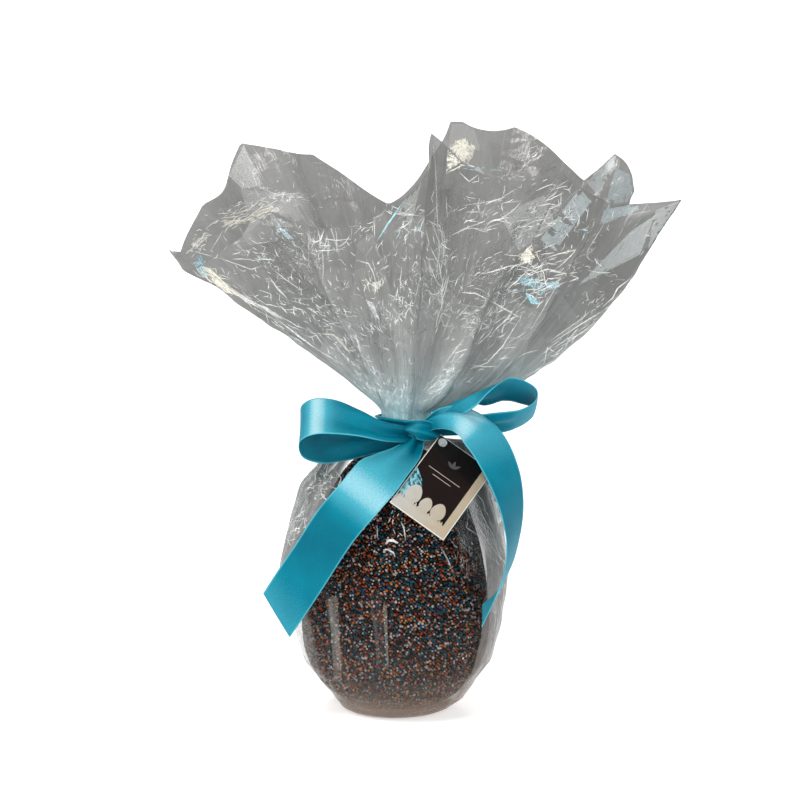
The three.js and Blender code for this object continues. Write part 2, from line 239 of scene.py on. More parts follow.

# Single creases with painted glints along them: shine, half width, tint, then the place of each bend
CREASES = [
    (0.5, 0.3, 2, [(-81, 297.5), (-74.5, 288), (-69.5, 277)]),
    (0.5, 0.22, 0.3, [(-83, 296), (-77, 288), (-71, 278)]),
    (0.6, 0.25, 0.2, [(-73.5, 275), (-63.5, 271), (-52.5, 272), (-46, 269.5)]),
    (0.8, 0.3, 0.8, [(-95.5, 257.5), (-82, 257.5), (-72, 264.5), (-64, 266.5)]),
    (0.7, 0.25, 0.2, [(-92, 253), (-95.5, 247), (-99, 241.5)]),
    (0.7, 0.3, 0.3, [(-107, 241.5), (-93, 238), (-77.5, 232.5), (-71, 234.5)]),
    (1, 0.45, 0.2, [(-91, 222), (-71, 212.5), (-53, 197.5), (-43, 190.5), (-29, 182)]),
    (0.8, 0.35, 0.1, [(-68.5, 229), (-64, 222.5), (-58.5, 217)]),
    (0.6, 0.25, 0, [(-66.5, 232.5), (-59.5, 227), (-53, 222.5)]),
    (1, 0.35, 0.3, [(-47, 248.5), (-44.5, 246.5), (-41.5, 247.5), (-39.5, 253)]),
    (0.5, 0.25, 0, [(-40.5, 246), (-40, 234), (-40.5, 221)]),
    (0.35, 0.25, 0, [(-47.5, 257.5), (-47.5, 243.5), (-47.5, 230.5)]),
    (1, 0.4, -0.8, [(1.5, 267.5), (-7.5, 254), (-12, 247)]),
    (0.7, 0.25, 0, [(-13, 265.5), (-13.5, 257), (-13, 248.5)]),
    (0.8, 0.3, 0.4, [(-23.5, 237.5), (-16.5, 235.5), (-14, 231), (-12, 223.5)]),
    (0.7, 0.3, 0.9, [(-45, 199), (-35, 198.5), (-30, 194), (-25.5, 188)]),
    (0.9, 0.35, 0.9, [(23.5, 282), (33.5, 287), (43.5, 284)]),
    (0.9, 0.35, -1, [(33.5, 286), (38.5, 285), (43.5, 283.5)]),
    (0.5, 0.3, -0.8, [(46, 284), (53, 283.5)]),
    (0.8, 0.25, 0.2, [(30.5, 283), (36, 278), (43.5, 283.5)]),
    (0.8, 0.25, 0.2, [(62, 290), (65.5, 289), (67.5, 295), (72, 296.5)]),
    (0.7, 0.25, 0.2, [(69.5, 288.5), (74, 292.5)]),
    (0.9, 0.32, 0.5, [(72.5, 237), (82.5, 240.5), (91.5, 242.5), (89, 239.5), (84.5, 235),
        (79.5, 231.5)]),
    (0.9, 0.32, 0.4, [(67, 236), (56.5, 234), (45.5, 230.5), (40.5, 230.5)]),
    (0.8, 0.3, 0.3, [(68, 233.5), (61.5, 227), (54.5, 221)]),
    (0.9, 0.3, 0.4, [(63.5, 227), (70, 230.5), (77, 232.5), (86, 230.5), (93, 228), (88, 226)]),
    (0.9, 0.3, 0.3, [(31.5, 220.5), (39.5, 220), (50, 214.5), (62.5, 207.5)]),
    (0.6, 0.2, 0.1, [(108, 259.5), (105, 254), (101.5, 248.5), (96, 239.5)]),
    (0.7, 0.25, 0.2, [(62, 254), (70, 257.5), (79, 259.5)]),
    (0.7, 0.25, 0.2, [(92.5, 261.5), (93.5, 259)]),
    (0.7, 0.22, 0.2, [(98, 264.5), (97, 257.5)]),
    (0.9, 0.35, -0.9, [(95, 253), (100.5, 252.5)]),
    (1, 0.35, 0.4, [(121.5, 228.5), (118, 226), (113.5, 222.5), (111, 217.5), (105.5, 212.5)]),
    (0.8, 0.28, 0.2, [(110, 213.5), (95, 204), (79.5, 194)]),
    (0.7, 0.25, 0.2, [(97.5, 208.5), (87, 201), (77, 194)]),
    (0.7, 0.22, 0, [(86, 232.5), (79.5, 220), (72.5, 207.5), (68, 201)]),
    (0.8, 0.25, 0.3, [(61, 213.5), (55, 206), (50, 201), (45.5, 195)]),
    (0.9, 0.28, 0.3, [(62.5, 206.5), (57.5, 198.5), (53.5, 192), (45.5, 183.5), (34, 179.5)]),
    (0.8, 0.25, 0.3, [(72.5, 190.5), (65.5, 188.5), (59, 185), (54.5, 180.5)]),
    (0.8, 0.25, 0.3, [(93, 193), (84, 187), (73, 180.5), (63.5, 175.5)]),
    (0.7, 0.25, 0.1, [(34, 196.5), (29, 190.5), (24, 183.5)]),
    (0.8, 0.25, 0, [(36.5, 182.5), (44.5, 181.5), (52.5, 182)]),
    (0.8, 0.25, -0.2, [(12.5, 259.5), (10, 252)]),
    (0.5, 0.3, -0.1, [(41.5, 269.5), (40.5, 265.5), (41.5, 262)]),
    (1, 0.7, 0, [(-7.5, 87.5), (-6, 89.5), (-3.5, 89.5), (-1, 88)]),
    (0.8, 0.4, -0.3, [(-9, 84.5), (-6.5, 84.5), (-3.5, 83), (-2.5, 80.5)]),
    (0.4, 0.4, 0, [(21.5, 86), (25, 79.5), (28, 72.5)]),
    (1, 0.5, 0, [(33, 26), (34, 26.5)]),
    (1, 0.5, 0, [(35, 27), (35.5, 27.5)]),
    (0.5, 0.3, 0.3, [(-12, 97.5), (-12, 91)]),
    (0.7, 0.3, 0.4, [(0.5, 99.5), (2, 96), (3, 89)]),
    (0.9, 0.35, 0.5, [(-35, 127.5), (-31, 122.5), (-33, 117), (-37, 118)]),
    (0.9, 0.35, 0.4, [(-27.5, 125.5), (-29.5, 120.5), (-34, 115.5)]),
    (0.8, 0.3, 0.3, [(-25.5, 127), (-28, 124)]),
    (0.8, 0.35, 0.5, [(-43.5, 111), (-40.5, 112.5), (-38, 110.5), (-41.5, 107)]),
    (0.35, 0.25, 2, [(108.5, 292.5), (98.5, 278.5), (89, 266)]),
    (0.35, 0.25, 2, [(16, 303), (17, 289), (17.5, 273.5)]),
    (0.4, 0.25, 0, [(17, 299.5), (18.5, 284), (19, 266), (20.5, 242.5)]),
]

# Flat panels between folds, the bright ones painted glints and the cyan ones painted reflections of
# the ribbon: shine, tint and the place of each corner
PANELS = [
    (0.85, 1, [(-103, 234), (-99, 233), (-84.5, 218.5), (-93, 221)]),
    (0.7, 0.4, [(-91.5, 225), (-80.5, 218), (-72, 211.5), (-82, 216.5)]),
    (0.75, -0.6, [(-108, 236), (-103.5, 237), (-100, 228), (-104.5, 230)]),
    (0.8, 0.3, [(-76, 215), (-70, 213), (-60.5, 206), (-67, 209)]),
    (0.75, 0.9, [(24.5, 294), (34, 300.5), (36.5, 291), (24, 283)]),
    (0.6, 0.9, [(28.5, 299), (39.5, 296), (35.5, 287), (30, 289)]),
    (0.95, 1, [(62.5, 238.5), (66.5, 244), (70.5, 238.5), (65.5, 235.5)]),
    (0.8, -0.8, [(65.5, 220), (70, 218.5), (73.5, 214), (68.5, 214.5)]),
    (0.55, -0.9, [(61, 228.5), (69.5, 227.5), (71, 223), (63.5, 224.5)]),
    (0.6, -0.7, [(75.5, 225.5), (82.5, 226.5), (83.5, 223.5), (77, 222)]),
    (0.6, 0.9, [(-92, 257), (-80, 258.5), (-80, 256.5), (-91, 255)]),
    (0.6, 0.9, [(-80, 259), (-66.5, 266), (-64.5, 262.5), (-77, 256.5)]),
    (0.55, 0.8, [(-109, 245.5), (-104.5, 249), (-99.5, 249.5), (-106.5, 243)]),
    (0.75, 0, [(-18, 216.5), (-14, 215), (-10.5, 206), (-13.5, 208)]),
    (0.7, 0.5, [(-14.5, 225.5), (-10, 226.5), (-10.5, 222.5), (-13.5, 222)]),
    (0.55, -0.5, [(-63.5, 254), (-60.5, 253.5), (-55, 248), (-59, 248.5)]),
    (0.35, -0.2, [(104.5, 299), (108.5, 292.5), (112, 286), (107, 284)]),
    (0.3, 0, [(-81, 297), (-72, 276), (-82, 274), (-89, 281)]),
    (0.24, -0.4, [(108, 293), (113, 286), (81, 242), (73, 248)]),
    (0.24, -0.5, [(112, 285), (125, 279), (124, 263), (104, 256)]),
    (0.25, -0.3, [(120, 252), (133, 261), (125, 240), (93, 224)]),
    (0.25, -0.3, [(133, 263), (145, 268), (143, 256), (128, 236)]),
    (0.16, 2, [(133, 233), (125, 222), (84, 201), (104, 224)]),
    (0.12, 2, [(16, 279), (36, 274), (41, 248), (24, 237)]),
    (0.12, 0, [(27, 310), (36, 311), (42, 294), (25, 294)]),
    (0.12, 2, [(46, 299), (80, 286), (91, 274), (52, 268)]),
    (0.14, 2, [(-104, 266), (-89, 280), (-83, 268), (-96, 258)]),
    (0.12, 0, [(-83, 274), (-52, 271), (-41, 253), (-78, 256)]),
    (0.12, 2, [(-73, 250), (-47, 245), (-42, 216), (-68, 227)]),
    (0.14, 0, [(1, 268), (9, 294), (14, 289), (5, 253)]),
    (0.5, 0, [(46, 119), (49, 120), (54, 100), (52, 98)]),
    (0.09, 0.9, [(-38, 59), (-33, 59), (-31, 14), (-35, 14)]),
    (0.12, 0.9, [(-9, 55), (-7, 55), (-6, 21), (-7, 20)]),
    (0.14, 0, [(52, 261), (75, 271), (81, 256), (62, 242)]),
    (0.14, 2, [(39, 240), (63, 232), (52, 216), (37, 222)]),
]

# The other sides that loose crinkles are laid from: degrees around and up
OTHER_SIDES = [(around, 4) for around in (55, 100, 145, 180, 215, 260, 305)] + [(0, 50), (180, 50)]
SIDE_FIELDS = 14
STEEP = 30
FAN_MIDDLE = 230

# Over the egg: height, how misty the film is and how brown. Towards the foot the
# mist is gathered film and also painted light that lightens the lower egg against its shaded top
MIST = np.array([
    (0, 0.85, 0.9),
    (6, 0.8, 0.85),
    (14, 0.4, 0.6),
    (26, 0.2, 0.35),
    (50, 0.06, 0.15),
    (85, 0, 0),
    (120, 0, 0),
])

# The card tag
TAG_WIDTH = 33
TAG_HEIGHT = 48
TAG_THICKNESS = 0.5
TAG_LOW_LEFT = Vector((-5.2, -47.4, 116.7))
TAG_ALONG = Vector((26.5, -4, -18.5)).normalized()
TAG_OUT = TAG_ALONG.cross(Vector((0.527, 0.527, 0.665)).normalized()).normalized()
TAG_UP = TAG_OUT.cross(TAG_ALONG).normalized()
PRINT_THICKNESS = 0.06
CARD_BEVEL = 0.12
FASTENER_INSET = 3.6
FASTENER_PROFILE = [
    (0.3, 0), (1.9, 0), (2.35, 0.35), (2.4, 0.8), (2.15, 1.25), (1.75, 1.3), (1.5, 1.0), (0.8, 0.85),
    (0.3, 0.95),
]


def new_object(name, points, faces, smooth=True):
    """A mesh object from points in millimetres."""
    mesh = bpy.data.meshes.new(name)
    faces = faces.tolist() if isinstance(faces, np.ndarray) else faces
    mesh.from_pydata((np.asarray(points) * MM).tolist(), [], faces)
    mesh.polygons.foreach_set("use_smooth", [smooth] * len(mesh.polygons))
    mesh.update()
    piece = bpy.data.objects.new(name, mesh)
    bpy.context.scene.collection.objects.link(piece)
    return piece


def make_object(name, points, faces, smooth=True):
    """A piece that rides on the root body."""
    piece = new_object(name, points, faces, smooth)
    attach(piece, "root")
    return piece


def dress(piece, material, solid="egg_in_film"):
    """Gives a piece its material and hides the solid that it replaces."""
    piece.data.materials.append(material)
    if solid:
        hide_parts(solid)
    return piece


def add_numbers(piece, name, values):
    layer = piece.data.attributes.new(name, "FLOAT", "POINT")
    layer.data.foreach_set("value", np.asarray(values, dtype=np.float32).ravel())


def add_vectors(piece, name, values):
    layer = piece.data.attributes.new(name, "FLOAT_VECTOR", "POINT")
    layer.data.foreach_set("vector", np.asarray(values, dtype=np.float32).ravel())


def grid_faces(rows, columns, closed=False):
    """Quads of a grid of points, row by row; closed joins the last column to the first."""
    last = columns if closed else columns - 1
    row, column = (part.ravel() for part in np.mgrid[: rows - 1, :last])
    beside = (column + 1) % columns
    low, high = row * columns, (row + 1) * columns
    return np.stack([low + column, low + beside, high + beside, high + column], axis=1)


def ring_points(middle, wide, deep, heights, angles):
    """Rings of points, one for each height."""
    height = np.repeat(heights[:, None], len(angles), axis=1)
    return np.stack([middle + wide * np.cos(angles), deep * np.sin(angles), height], axis=2)


def catmull_rom(points, places, tension=0.5):
    """Points on a smooth path; places count the given points, from 0 on."""
    points = np.asarray(points, dtype=float)
    padded = np.vstack([2 * points[0] - points[1], points, 2 * points[-1] - points[-2]])
    places = np.clip(np.asarray(places, dtype=float), 0, len(points) - 1)
    start = np.minimum(places.astype(int), len(points) - 2)
    t = (places - start)[:, None]
    before, here, there, after = (padded[start + k] for k in range(4))
    leave = tension * (there - before)
    arrive = tension * (after - here)
    return (
        here
        + leave * t
        + (3 * (there - here) - 2 * leave - arrive) * t**2
        + (2 * (here - there) + leave + arrive) * t**3
    )


def smoothstep(low, high, value):
    t = np.clip((value - low) / (high - low), 0, 1)
    return t * t * (3 - 2 * t)


def triangle_wave(value):
    """Straight ups and downs between 0 and 1, with sharp turns."""
    return np.abs((value % 1) * 2 - 1)


def units(vectors):
    return vectors / np.maximum(np.linalg.norm(vectors, axis=-1, keepdims=True), 1e-9)


# Materials


class Nodes:
    """Short ways to add and link shader nodes."""

    def __init__(self, name):
        self.material = bpy.data.materials.new(name)
        self.material.use_nodes = True
        self.tree = self.material.node_tree
        self.shader = self.tree.nodes["Principled BSDF"]

    def add(self, kind, inputs=None, **settings):
        node = self.tree.nodes.new(kind)
        for key, value in settings.items():
            setattr(node, key, value)
        for key, value in (inputs or {}).items():
            self.put(value, node.inputs[key])
        return node

    def put(self, value, socket):
        if isinstance(value, bpy.types.NodeSocket):
            self.tree.links.new(value, socket)
        elif socket.type == "RGBA" and len(value) == 3:
            socket.default_value = (*value, 1.0)
        else:
            socket.default_value = value

    def attribute(self, name, output="Fac"):
        return self.add("ShaderNodeAttribute", attribute_name=name).outputs[output]

    def position(self):
        return self.add("ShaderNodeTexCoord").outputs["Object"]

    def scaled(self, vector, scale):
        return self.add("ShaderNodeMapping", {"Vector": vector, "Scale": scale}).outputs["Vector"]

    def noise(self, vector, scale, detail=3.0, rough=0.5, distortion=0.0):
        names = ("Vector", "Scale", "Detail", "Roughness", "Distortion")
        inputs = dict(zip(names, (vector, scale, detail, rough, distortion)))
        return self.add("ShaderNodeTexNoise", inputs).outputs["Fac"]

    def edges(self, vector, scale):
        """Distance to the edges of random cells."""
        inputs = {"Vector": vector, "Scale": scale}
        node = self.add("ShaderNodeTexVoronoi", inputs, feature="DISTANCE_TO_EDGE")
        return node.outputs["Distance"]

    def cells(self, vector, scale):
        """A steady random value in each of many cells with straight sides."""
        node = self.add("ShaderNodeTexVoronoi", {"Vector": vector, "Scale": scale})
        split = self.add("ShaderNodeSeparateColor", {"Color": node.outputs["Color"]})
        return split.outputs["Red"]

    def warped(self, vector, scale, reach):
        """The vector moved about by a soft noise, so that straight patterns bend."""
        node = self.add("ShaderNodeTexNoise", {"Vector": vector, "Scale": scale})
        centred = self.vector_math("SUBTRACT", node.outputs["Color"], (0.5, 0.5, 0.5))
        moved = self.vector_math("MULTIPLY", centred, (reach, reach, reach))
        return self.vector_math("ADD", vector, moved)

    def vector_math(self, operation, a, b):
        return self.add("ShaderNodeVectorMath", {0: a, 1: b}, operation=operation).outputs[0]

    def tinted(self, level, shares):
        """A colour from one level and its share of red, green and blue."""
        parts = [self.math("MULTIPLY", level, share) for share in shares]
        inputs = dict(zip(("Red", "Green", "Blue"), parts))
        return self.add("ShaderNodeCombineColor", inputs).outputs[0]

    def both(self, *values):
        return reduce(lambda a, b: self.math("MULTIPLY", a, b), values)

    def total(self, *values):
        return reduce(lambda a, b: self.math("ADD", a, b), values)

    def span(self, value, low, high, out_low=0.0, out_high=1.0):
        names = ("Value", "From Min", "From Max", "To Min", "To Max")
        inputs = dict(zip(names, (value, low, high, out_low, out_high)))
        return self.add("ShaderNodeMapRange", inputs).outputs["Result"]

    def math(self, operation, a, b=0.0):
        return self.add("ShaderNodeMath", {0: a, 1: b}, operation=operation).outputs[0]

    def mix(self, factor, a, b):
        inputs = {"Factor": factor, "A": a, "B": b}
        return self.add("ShaderNodeMix", inputs, data_type="RGBA").outputs["Result"]

    def bump(self, height, distance, strength=1.0):
        inputs = {"Height": height, "Distance": distance, "Strength": strength}
        return self.add("ShaderNodeBump", inputs).outputs["Normal"]

    def set(self, **values):
        for key, value in values.items():
            self.put(value, self.shader.inputs[key.replace("_", " ")])


def film_material():
    """Clear film: grey where it stands off the egg, pale where it is gathered, with a painted teal
    reflection of the ribbon just above the tie.
    """
    n = Nodes("clear_film")
    place = n.position()
    bent = n.warped(place, 12.0, 0.012)
    tall = n.scaled(bent, (1.0, 1.0, 0.55))
    wide = n.scaled(bent, (0.7, 1.0, 1.0))
    sheet = n.scaled(n.attribute("sheet", "Vector"), (420, 16, 420))
    rays = n.noise(sheet, 1.0, 3.0, 0.65, 0.4)
    clouds = n.noise(place, 22.0, 2.0, 0.55)
    facets = n.cells(tall, LARGE_FACETS)
    shift = n.total(
        n.span(facets, 0, 1, -0.03, 0.03),
        n.span(n.cells(wide, SMALL_FACETS), 0, 1, -0.018, 0.018),
        n.span(clouds, 0.3, 0.7, -0.02, 0.02),
        n.span(rays, 0.3, 0.7, -0.014, 0.014),
    )
    film_colour(n, n.total(n.attribute("level"), shift), rays, clouds)

    dense = n.total(0.92, n.span(facets, 0, 1, -0.05, 0.03), n.both(n.attribute("gather"), 0.05))
    trace = n.total(n.both(n.span(rays, 0.5, 0.7), 0.03), 0.01)
    n.set(Alpha=n.math("MAXIMUM", n.both(n.attribute("veil"), dense), trace))
    n.set(Roughness=0.1, Specular_IOR_Level=0.16)
    folds = n.both(n.edges(tall, LARGE_FACETS), 0.004)
    small_folds = n.both(n.edges(wide, SMALL_FACETS), 0.0014)
    n.set(Normal=n.bump(n.total(folds, small_folds, n.both(rays, 0.0006)), 1.0, 0.8))
    return n.material


def film_colour(n, level, rays, clouds):
    """Grey, pale where it is gathered, a painted teal reflection of the ribbon just above the tie,
    brown at the foot partly as painted light, and painted highlights along fine streaks.
    """
    on_bag, on_fan = n.tinted(level, (0.93, 1, 0.985)), n.tinted(level, (1, 1, 0.97))
    body = n.mix(n.attribute("bag"), on_fan, on_bag)
    hazy = n.both(n.attribute("gather"), n.span(rays, 0.3, 0.7, 0.55, 1.0))
    body = n.mix(hazy, body, (0.68, 0.76, 0.75))
    # Painted reflection: the ribbon's teal just above the tie.
    teal = n.both(n.attribute("teal"), n.span(clouds, 0.35, 0.6))
    body = n.mix(teal, body, (0.36, 0.58, 0.62))
    # Brown veil at the foot: gathered film, and partly painted light that lightens the lower egg.
    body = n.mix(n.attribute("warm"), body, (0.24, 0.165, 0.12))
    # Painted highlights along fine radial streaks of the film.
    streak_highlights = n.both(n.span(rays, 0.66, 0.74), n.span(clouds, 0.42, 0.56), 0.4)
    n.set(Base_Color=n.mix(streak_highlights, body, (0.75, 0.77, 0.75)))


def crease_glint_material():
    """Painted glints on the ridges of creased film: white and cream painted highlights, cyan painted
    reflections of the ribbon, or dark, by their tint.
    """
    n = Nodes("painted_crease_glints")
    tint = n.attribute("tint")
    grain = n.noise(n.position(), 700.0, 2.0)
    # Cyan is a painted reflection of the ribbon, white and cream are painted glints.
    body = n.mix(n.span(tint, -1, -0.2), (0.26, 0.78, 0.95), (0.94, 0.97, 0.96))
    body = n.mix(n.span(tint, 0, 1), body, (0.97, 0.93, 0.78))
    body = n.mix(n.span(tint, 1.4, 1.9), body, (0.10, 0.10, 0.10))
    n.set(Base_Color=body)
    n.set(Alpha=n.both(n.attribute("shine"), n.span(grain, 0.35, 0.6, 0.7, 1.0)))
    n.set(Roughness=0.22, Specular_IOR_Level=0.5)
    return n.material


def cloudy(name, scale, detail, dark, light, **finish):
    """A finish that varies softly between two shades, and the cloud that it follows."""
    n = Nodes(name)
    cloud = n.noise(n.position(), scale, detail)
    n.set(Base_Color=n.mix(cloud, dark, light), **finish)
    return n, cloud


def chocolate_material():
    dark, brown = (0.002, 0.001, 0.001), (0.006, 0.003, 0.002)
    n, blotches = cloudy("dark_chocolate", 60.0, 4.0, dark, brown, Specular_IOR_Level=0.05)
    n.set(Roughness=n.span(blotches, 0.3, 0.7, 0.6, 0.75))
    n.set(Normal=n.bump(n.noise(n.position(), 900.0, 2.0), 0.0002, 0.5))
    return n.material


def bead_material(name, shade):
    """Sugar beads: each a little lighter or darker, with a grain."""
    n = Nodes(name)
    each = n.noise(n.position(), 520.0, 0.0)
    dull = tuple(0.55 * part for part in shade)
    bright = tuple(min(1.0, 1.25 * part + 0.01) for part in shade)
    n.set(Base_Color=n.mix(n.span(each, 0.3, 0.7), dull, bright))
    grain = n.noise(n.position(), 4000.0, 2.0)
    n.set(Roughness=n.span(grain, 0.3, 0.7, 0.3, 0.45), Specular_IOR_Level=0.1)
    n.set(Normal=n.bump(grain, 0.00005, 0.4))
    return n.material


def satin_material():
    """Turquoise satin: fine weft lines across, a bright selvedge painted as a highlight line, soft
    gloss, and painted highlights and painted shade from each point's painted light value.
    """
    n = Nodes("turquoise_satin")
    weave = n.attribute("weave", "Vector")
    across = n.attribute("across")
    waves = {"Vector": weave, "Scale": 900.0, "Distortion": 1.5, "Detail": 2.0, "Detail Scale": 2.0}
    thread = n.add("ShaderNodeTexWave", waves, bands_direction="X").outputs["Fac"]
    speckle = n.noise(n.scaled(weave, (1.0, 0.45, 1.0)), 2400.0, 2.0)
    broad = n.noise(weave, 55.0, 2.0)
    deep = (0.0, 0.155, 0.235)
    fresh = (0.0, 0.22, 0.31)
    body = n.mix(n.span(n.total(broad, n.both(speckle, 0.5)), 0.5, 1.0), deep, fresh)
    # Painted highlight: a bright line along both selvedges, mixed in below.
    edge = n.span(across, 0.93, 0.97)
    grain = n.span(speckle, 0.3, 0.7, -0.11, 0.11)
    # Painted light: brighter above 0, a whitish painted highlight above 0.75, painted shade below 0;
    # the speckle adds a sparkle grain to it.
    painted_light = n.total(n.attribute("painted_light"), grain)
    body = n.mix(n.span(painted_light, 0, 1), body, (0.08, 0.44, 0.56))
    body = n.mix(n.span(painted_light, 0.75, 1.5), body, (0.60, 0.82, 0.86))
    body = n.mix(n.span(painted_light, 0, -1), body, (0.0, 0.085, 0.14))
    n.set(Base_Color=n.mix(n.both(edge, 0.6), body, (0.12, 0.55, 0.66)))
    n.set(Roughness=n.span(speckle, 0.3, 0.7, 0.36, 0.5), Specular_IOR_Level=0.08)
    ridge = n.total(n.both(thread, 0.6), speckle)
    n.set(Normal=n.bump(ridge, 0.00012, 0.45))
    return n.material


def card_material():
    shades = (0.62, 0.60, 0.55), (0.82, 0.80, 0.75)
    n, fibre = cloudy("white_card", 1800.0, 3.0, *shades, Roughness=0.45)
    n.set(Normal=n.bump(fibre, 0.00005, 0.3))
    return n.material


def dark_print_material():
    """Near-black brown ink under a gloss coat."""
    shades = (0.004, 0.002, 0.002), (0.013, 0.006, 0.004)
    n, _ = cloudy("dark_print", 70.0, 3.0, *shades, Roughness=0.2, Specular_IOR_Level=0.4)
    n.set(Normal=n.bump(n.noise(n.position(), 260.0, 2.0), 0.00015, 0.25))
    return n.material


def cream_print_material():
    """Cream ink, silvery at one side of the card and beige at the other."""
    n = Nodes("cream_print")
    along = n.attribute("along")
    cloud = n.noise(n.position(), 300.0, 3.0)
    tint = n.total(along, n.span(cloud, 0.3, 0.7, -0.12, 0.12))
    n.set(Base_Color=n.mix(tint, (0.50, 0.49, 0.46), (0.44, 0.36, 0.25)))
    n.set(Roughness=0.22)
    n.set(Normal=n.bump(cloud, 0.00008, 0.3))
    return n.material


def ribbon_reflection_material():
    """A painted reflection of the turquoise ribbon in the glossy card, in feathery streaks that fade
    to one side.
    """
    n = Nodes("painted_ribbon_reflection")
    reflection_streaks = n.noise(n.scaled(n.position(), (1.0, 1.0, 0.3)), 900.0, 3.0)
    n.set(Base_Color=n.mix(n.span(reflection_streaks, 0.4, 0.62), (0.004, 0.13, 0.20), (0.30, 0.62, 0.68)))
    fade = n.span(n.attribute("along"), 0.1, 0.33, 1.0, 0.0)
    n.set(Alpha=n.both(fade, n.span(reflection_streaks, 0.3, 0.55, 0.55, 1.0)))
    n.set(Roughness=0.3)
    return n.material


def grey_print_material():
    shades = (0.05, 0.048, 0.048), (0.11, 0.105, 0.10)
    return cloudy("grey_print", 600.0, 2.0, *shades, Roughness=0.3)[0].material


def clear_plastic_material():
    shades = (0.50, 0.56, 0.57), (0.72, 0.76, 0.76)
    n, cloud = cloudy("clear_plastic", 500.0, 2.0, *shades, Roughness=0.08, Specular_IOR_Level=0.9)
    n.set(Alpha=n.span(cloud, 0.3, 0.7, 0.35, 0.6))
    return n.material


def floor_material():
    n, _ = cloudy("pale_floor", 3.0, 2.0, (0.86, 0.86, 0.86), (0.88, 0.88, 0.88), Roughness=0.9)
    away = n.add("ShaderNodeVectorMath", {0: n.position()}, operation="LENGTH").outputs["Value"]
    n.set(Emission_Color=(1, 1, 1), Emission_Strength=n.span(away, 0.2, 2.0, 0.5, 0.76))
    return n.material


# The film


def egg_radius(height):
    """The egg's radius over its beads at a height."""
    upper = np.clip((height - EGG_WIDEST) / (EGG_TOP - EGG_WIDEST), 0, 1)
    lower = np.clip((EGG_WIDEST - height) / (EGG_WIDEST - EGG_BOTTOM), 0, 1)
    power = np.where(height > EGG_WIDEST, 2, EGG_FOOT_POWER)
    return EGG_RADIUS * (1 - np.maximum(upper, lower) ** power) ** (1 / power)


def egg_profile(steps, inset):
    """Radii and heights down the side of the egg, a little inside its beads."""
    turn = np.linspace(0.0, np.pi, steps)
    down = np.cos(turn) < 0
    radius = np.sin(turn)
    rise = np.cos(turn)
    blunt = (radius**EGG_FOOT_POWER + np.abs(rise) ** EGG_FOOT_POWER) ** (1 / EGG_FOOT_POWER)
    stretch = np.where(down, 1 / blunt, 1)
    half = np.where(down, EGG_WIDEST - EGG_BOTTOM, EGG_TOP - EGG_WIDEST) - inset
    return (EGG_RADIUS - inset) * radius * stretch, EGG_WIDEST + half * rise * stretch


def bag_points(heights, angles):
    """The skin of the shut bag, one row for each height."""
    places = np.interp(heights, BAG_RINGS[:, 0], np.arange(len(BAG_RINGS)))
    shape = catmull_rom(BAG_RINGS[:, 1:], places, 0.35)
    middle, half_width, half_depth = (shape[:, k, None] for k in range(3))
    wave = np.cos(PLEATS * angles + 1.4 * np.sin(3 * angles + 0.5))[None, :]
    fade = smoothstep(PLEATS_FADE_FROM, PLEATS_FULL_AT, heights)[:, None]
    depth = np.minimum(PLEAT_DEPTH, PLEAT_SHARE * half_width) * fade * wave
    return ring_points(middle, half_width + depth, half_depth + depth, heights, angles)


def rim_points(angles):
    degrees = np.degrees(angles) % 360
    peak = np.searchsorted(RIM_PEAKS[:, 0], degrees, side="right") - 1
    start = RIM_PEAKS[peak]
    end = RIM_PEAKS[(peak + 1) % len(RIM_PEAKS)]
    span = (end[:, 0] - start[:, 0]) % 360
    share = ((degrees - start[:, 0]) / span)[:, None]
    points = start[:, 1:4] * (1 - share) + end[:, 1:4] * share
    inward = units(np.array([NECK_X, 0, NECK_TOP]) - points)
    return points + inward * 4 * share * (1 - share) * start[:, 4:5]


def flare_points(shares, angles):
    """The open film above the tie, one row for each share of the way out."""
    start = bag_points(np.array([float(NECK_BOTTOM)]), angles)[0]
    start[:, 2] = NECK_TOP
    reach = rim_points(angles) - start
    share = shares[:, None]
    opening = share**OPENING_POWER
    belly = (BELLY + BELLY_TO_RIGHT * np.cos(angles)) * 4 * share * (1 - share)
    wave = np.cos(RUFFLES * angles + 2 * np.sin(2 * angles))
    ruffle = RUFFLE_DEPTH * wave * np.sin(0.8 * np.pi * share)
    x = start[:, 0] + reach[:, 0] * opening + ruffle * np.cos(angles)
    y = start[:, 1] + reach[:, 1] * opening + ruffle * np.sin(angles)
    return np.stack([x, y, start[:, 2] + reach[:, 2] * share - belly], axis=2)


def surface_normals(grid, closed=True):
    """Outward normals of a grid; closed where its rows join up with themselves."""
    if closed:
        beside = np.roll(grid, -1, axis=1) - np.roll(grid, 1, axis=1)
    else:
        beside = np.gradient(grid, axis=1)
    return units(np.cross(beside, np.gradient(grid, axis=0)))


def crumple(points, wavelength, count, rng):
    """Straight creases in random directions, which come and go over the sheet."""
    total = np.zeros(points.shape[:-1])
    for _ in range(count):
        across, bend, window = (units(rng.normal(size=3)) for _ in range(3))
        first, second, third = rng.random(3) * 2 * np.pi
        warp = 0.3 * np.sin(points @ bend * (2 * np.pi / (2.6 * wavelength)) + first)
        wave = triangle_wave(points @ across / wavelength + warp + second)
        shown = 0.5 + 0.5 * np.sin(points @ window * (2 * np.pi / (3.1 * wavelength)) + third)
        total += (wave - 0.5) * shown
    return total / math.sqrt(count)


def neck_pleats(angles, rng):
    """Sharp uneven pleats that start at the tie, between -0.5 and 0.5."""
    total = np.zeros_like(angles)
    for folds in (17, 23, 31):
        phase = rng.random() * 2 * np.pi
        warp = 0.22 * np.sin(2 * angles + phase) + 0.15 * np.sin(5 * angles - phase)
        total += triangle_wave(folds * angles / (2 * np.pi) + warp) - 0.5
    return total / 2


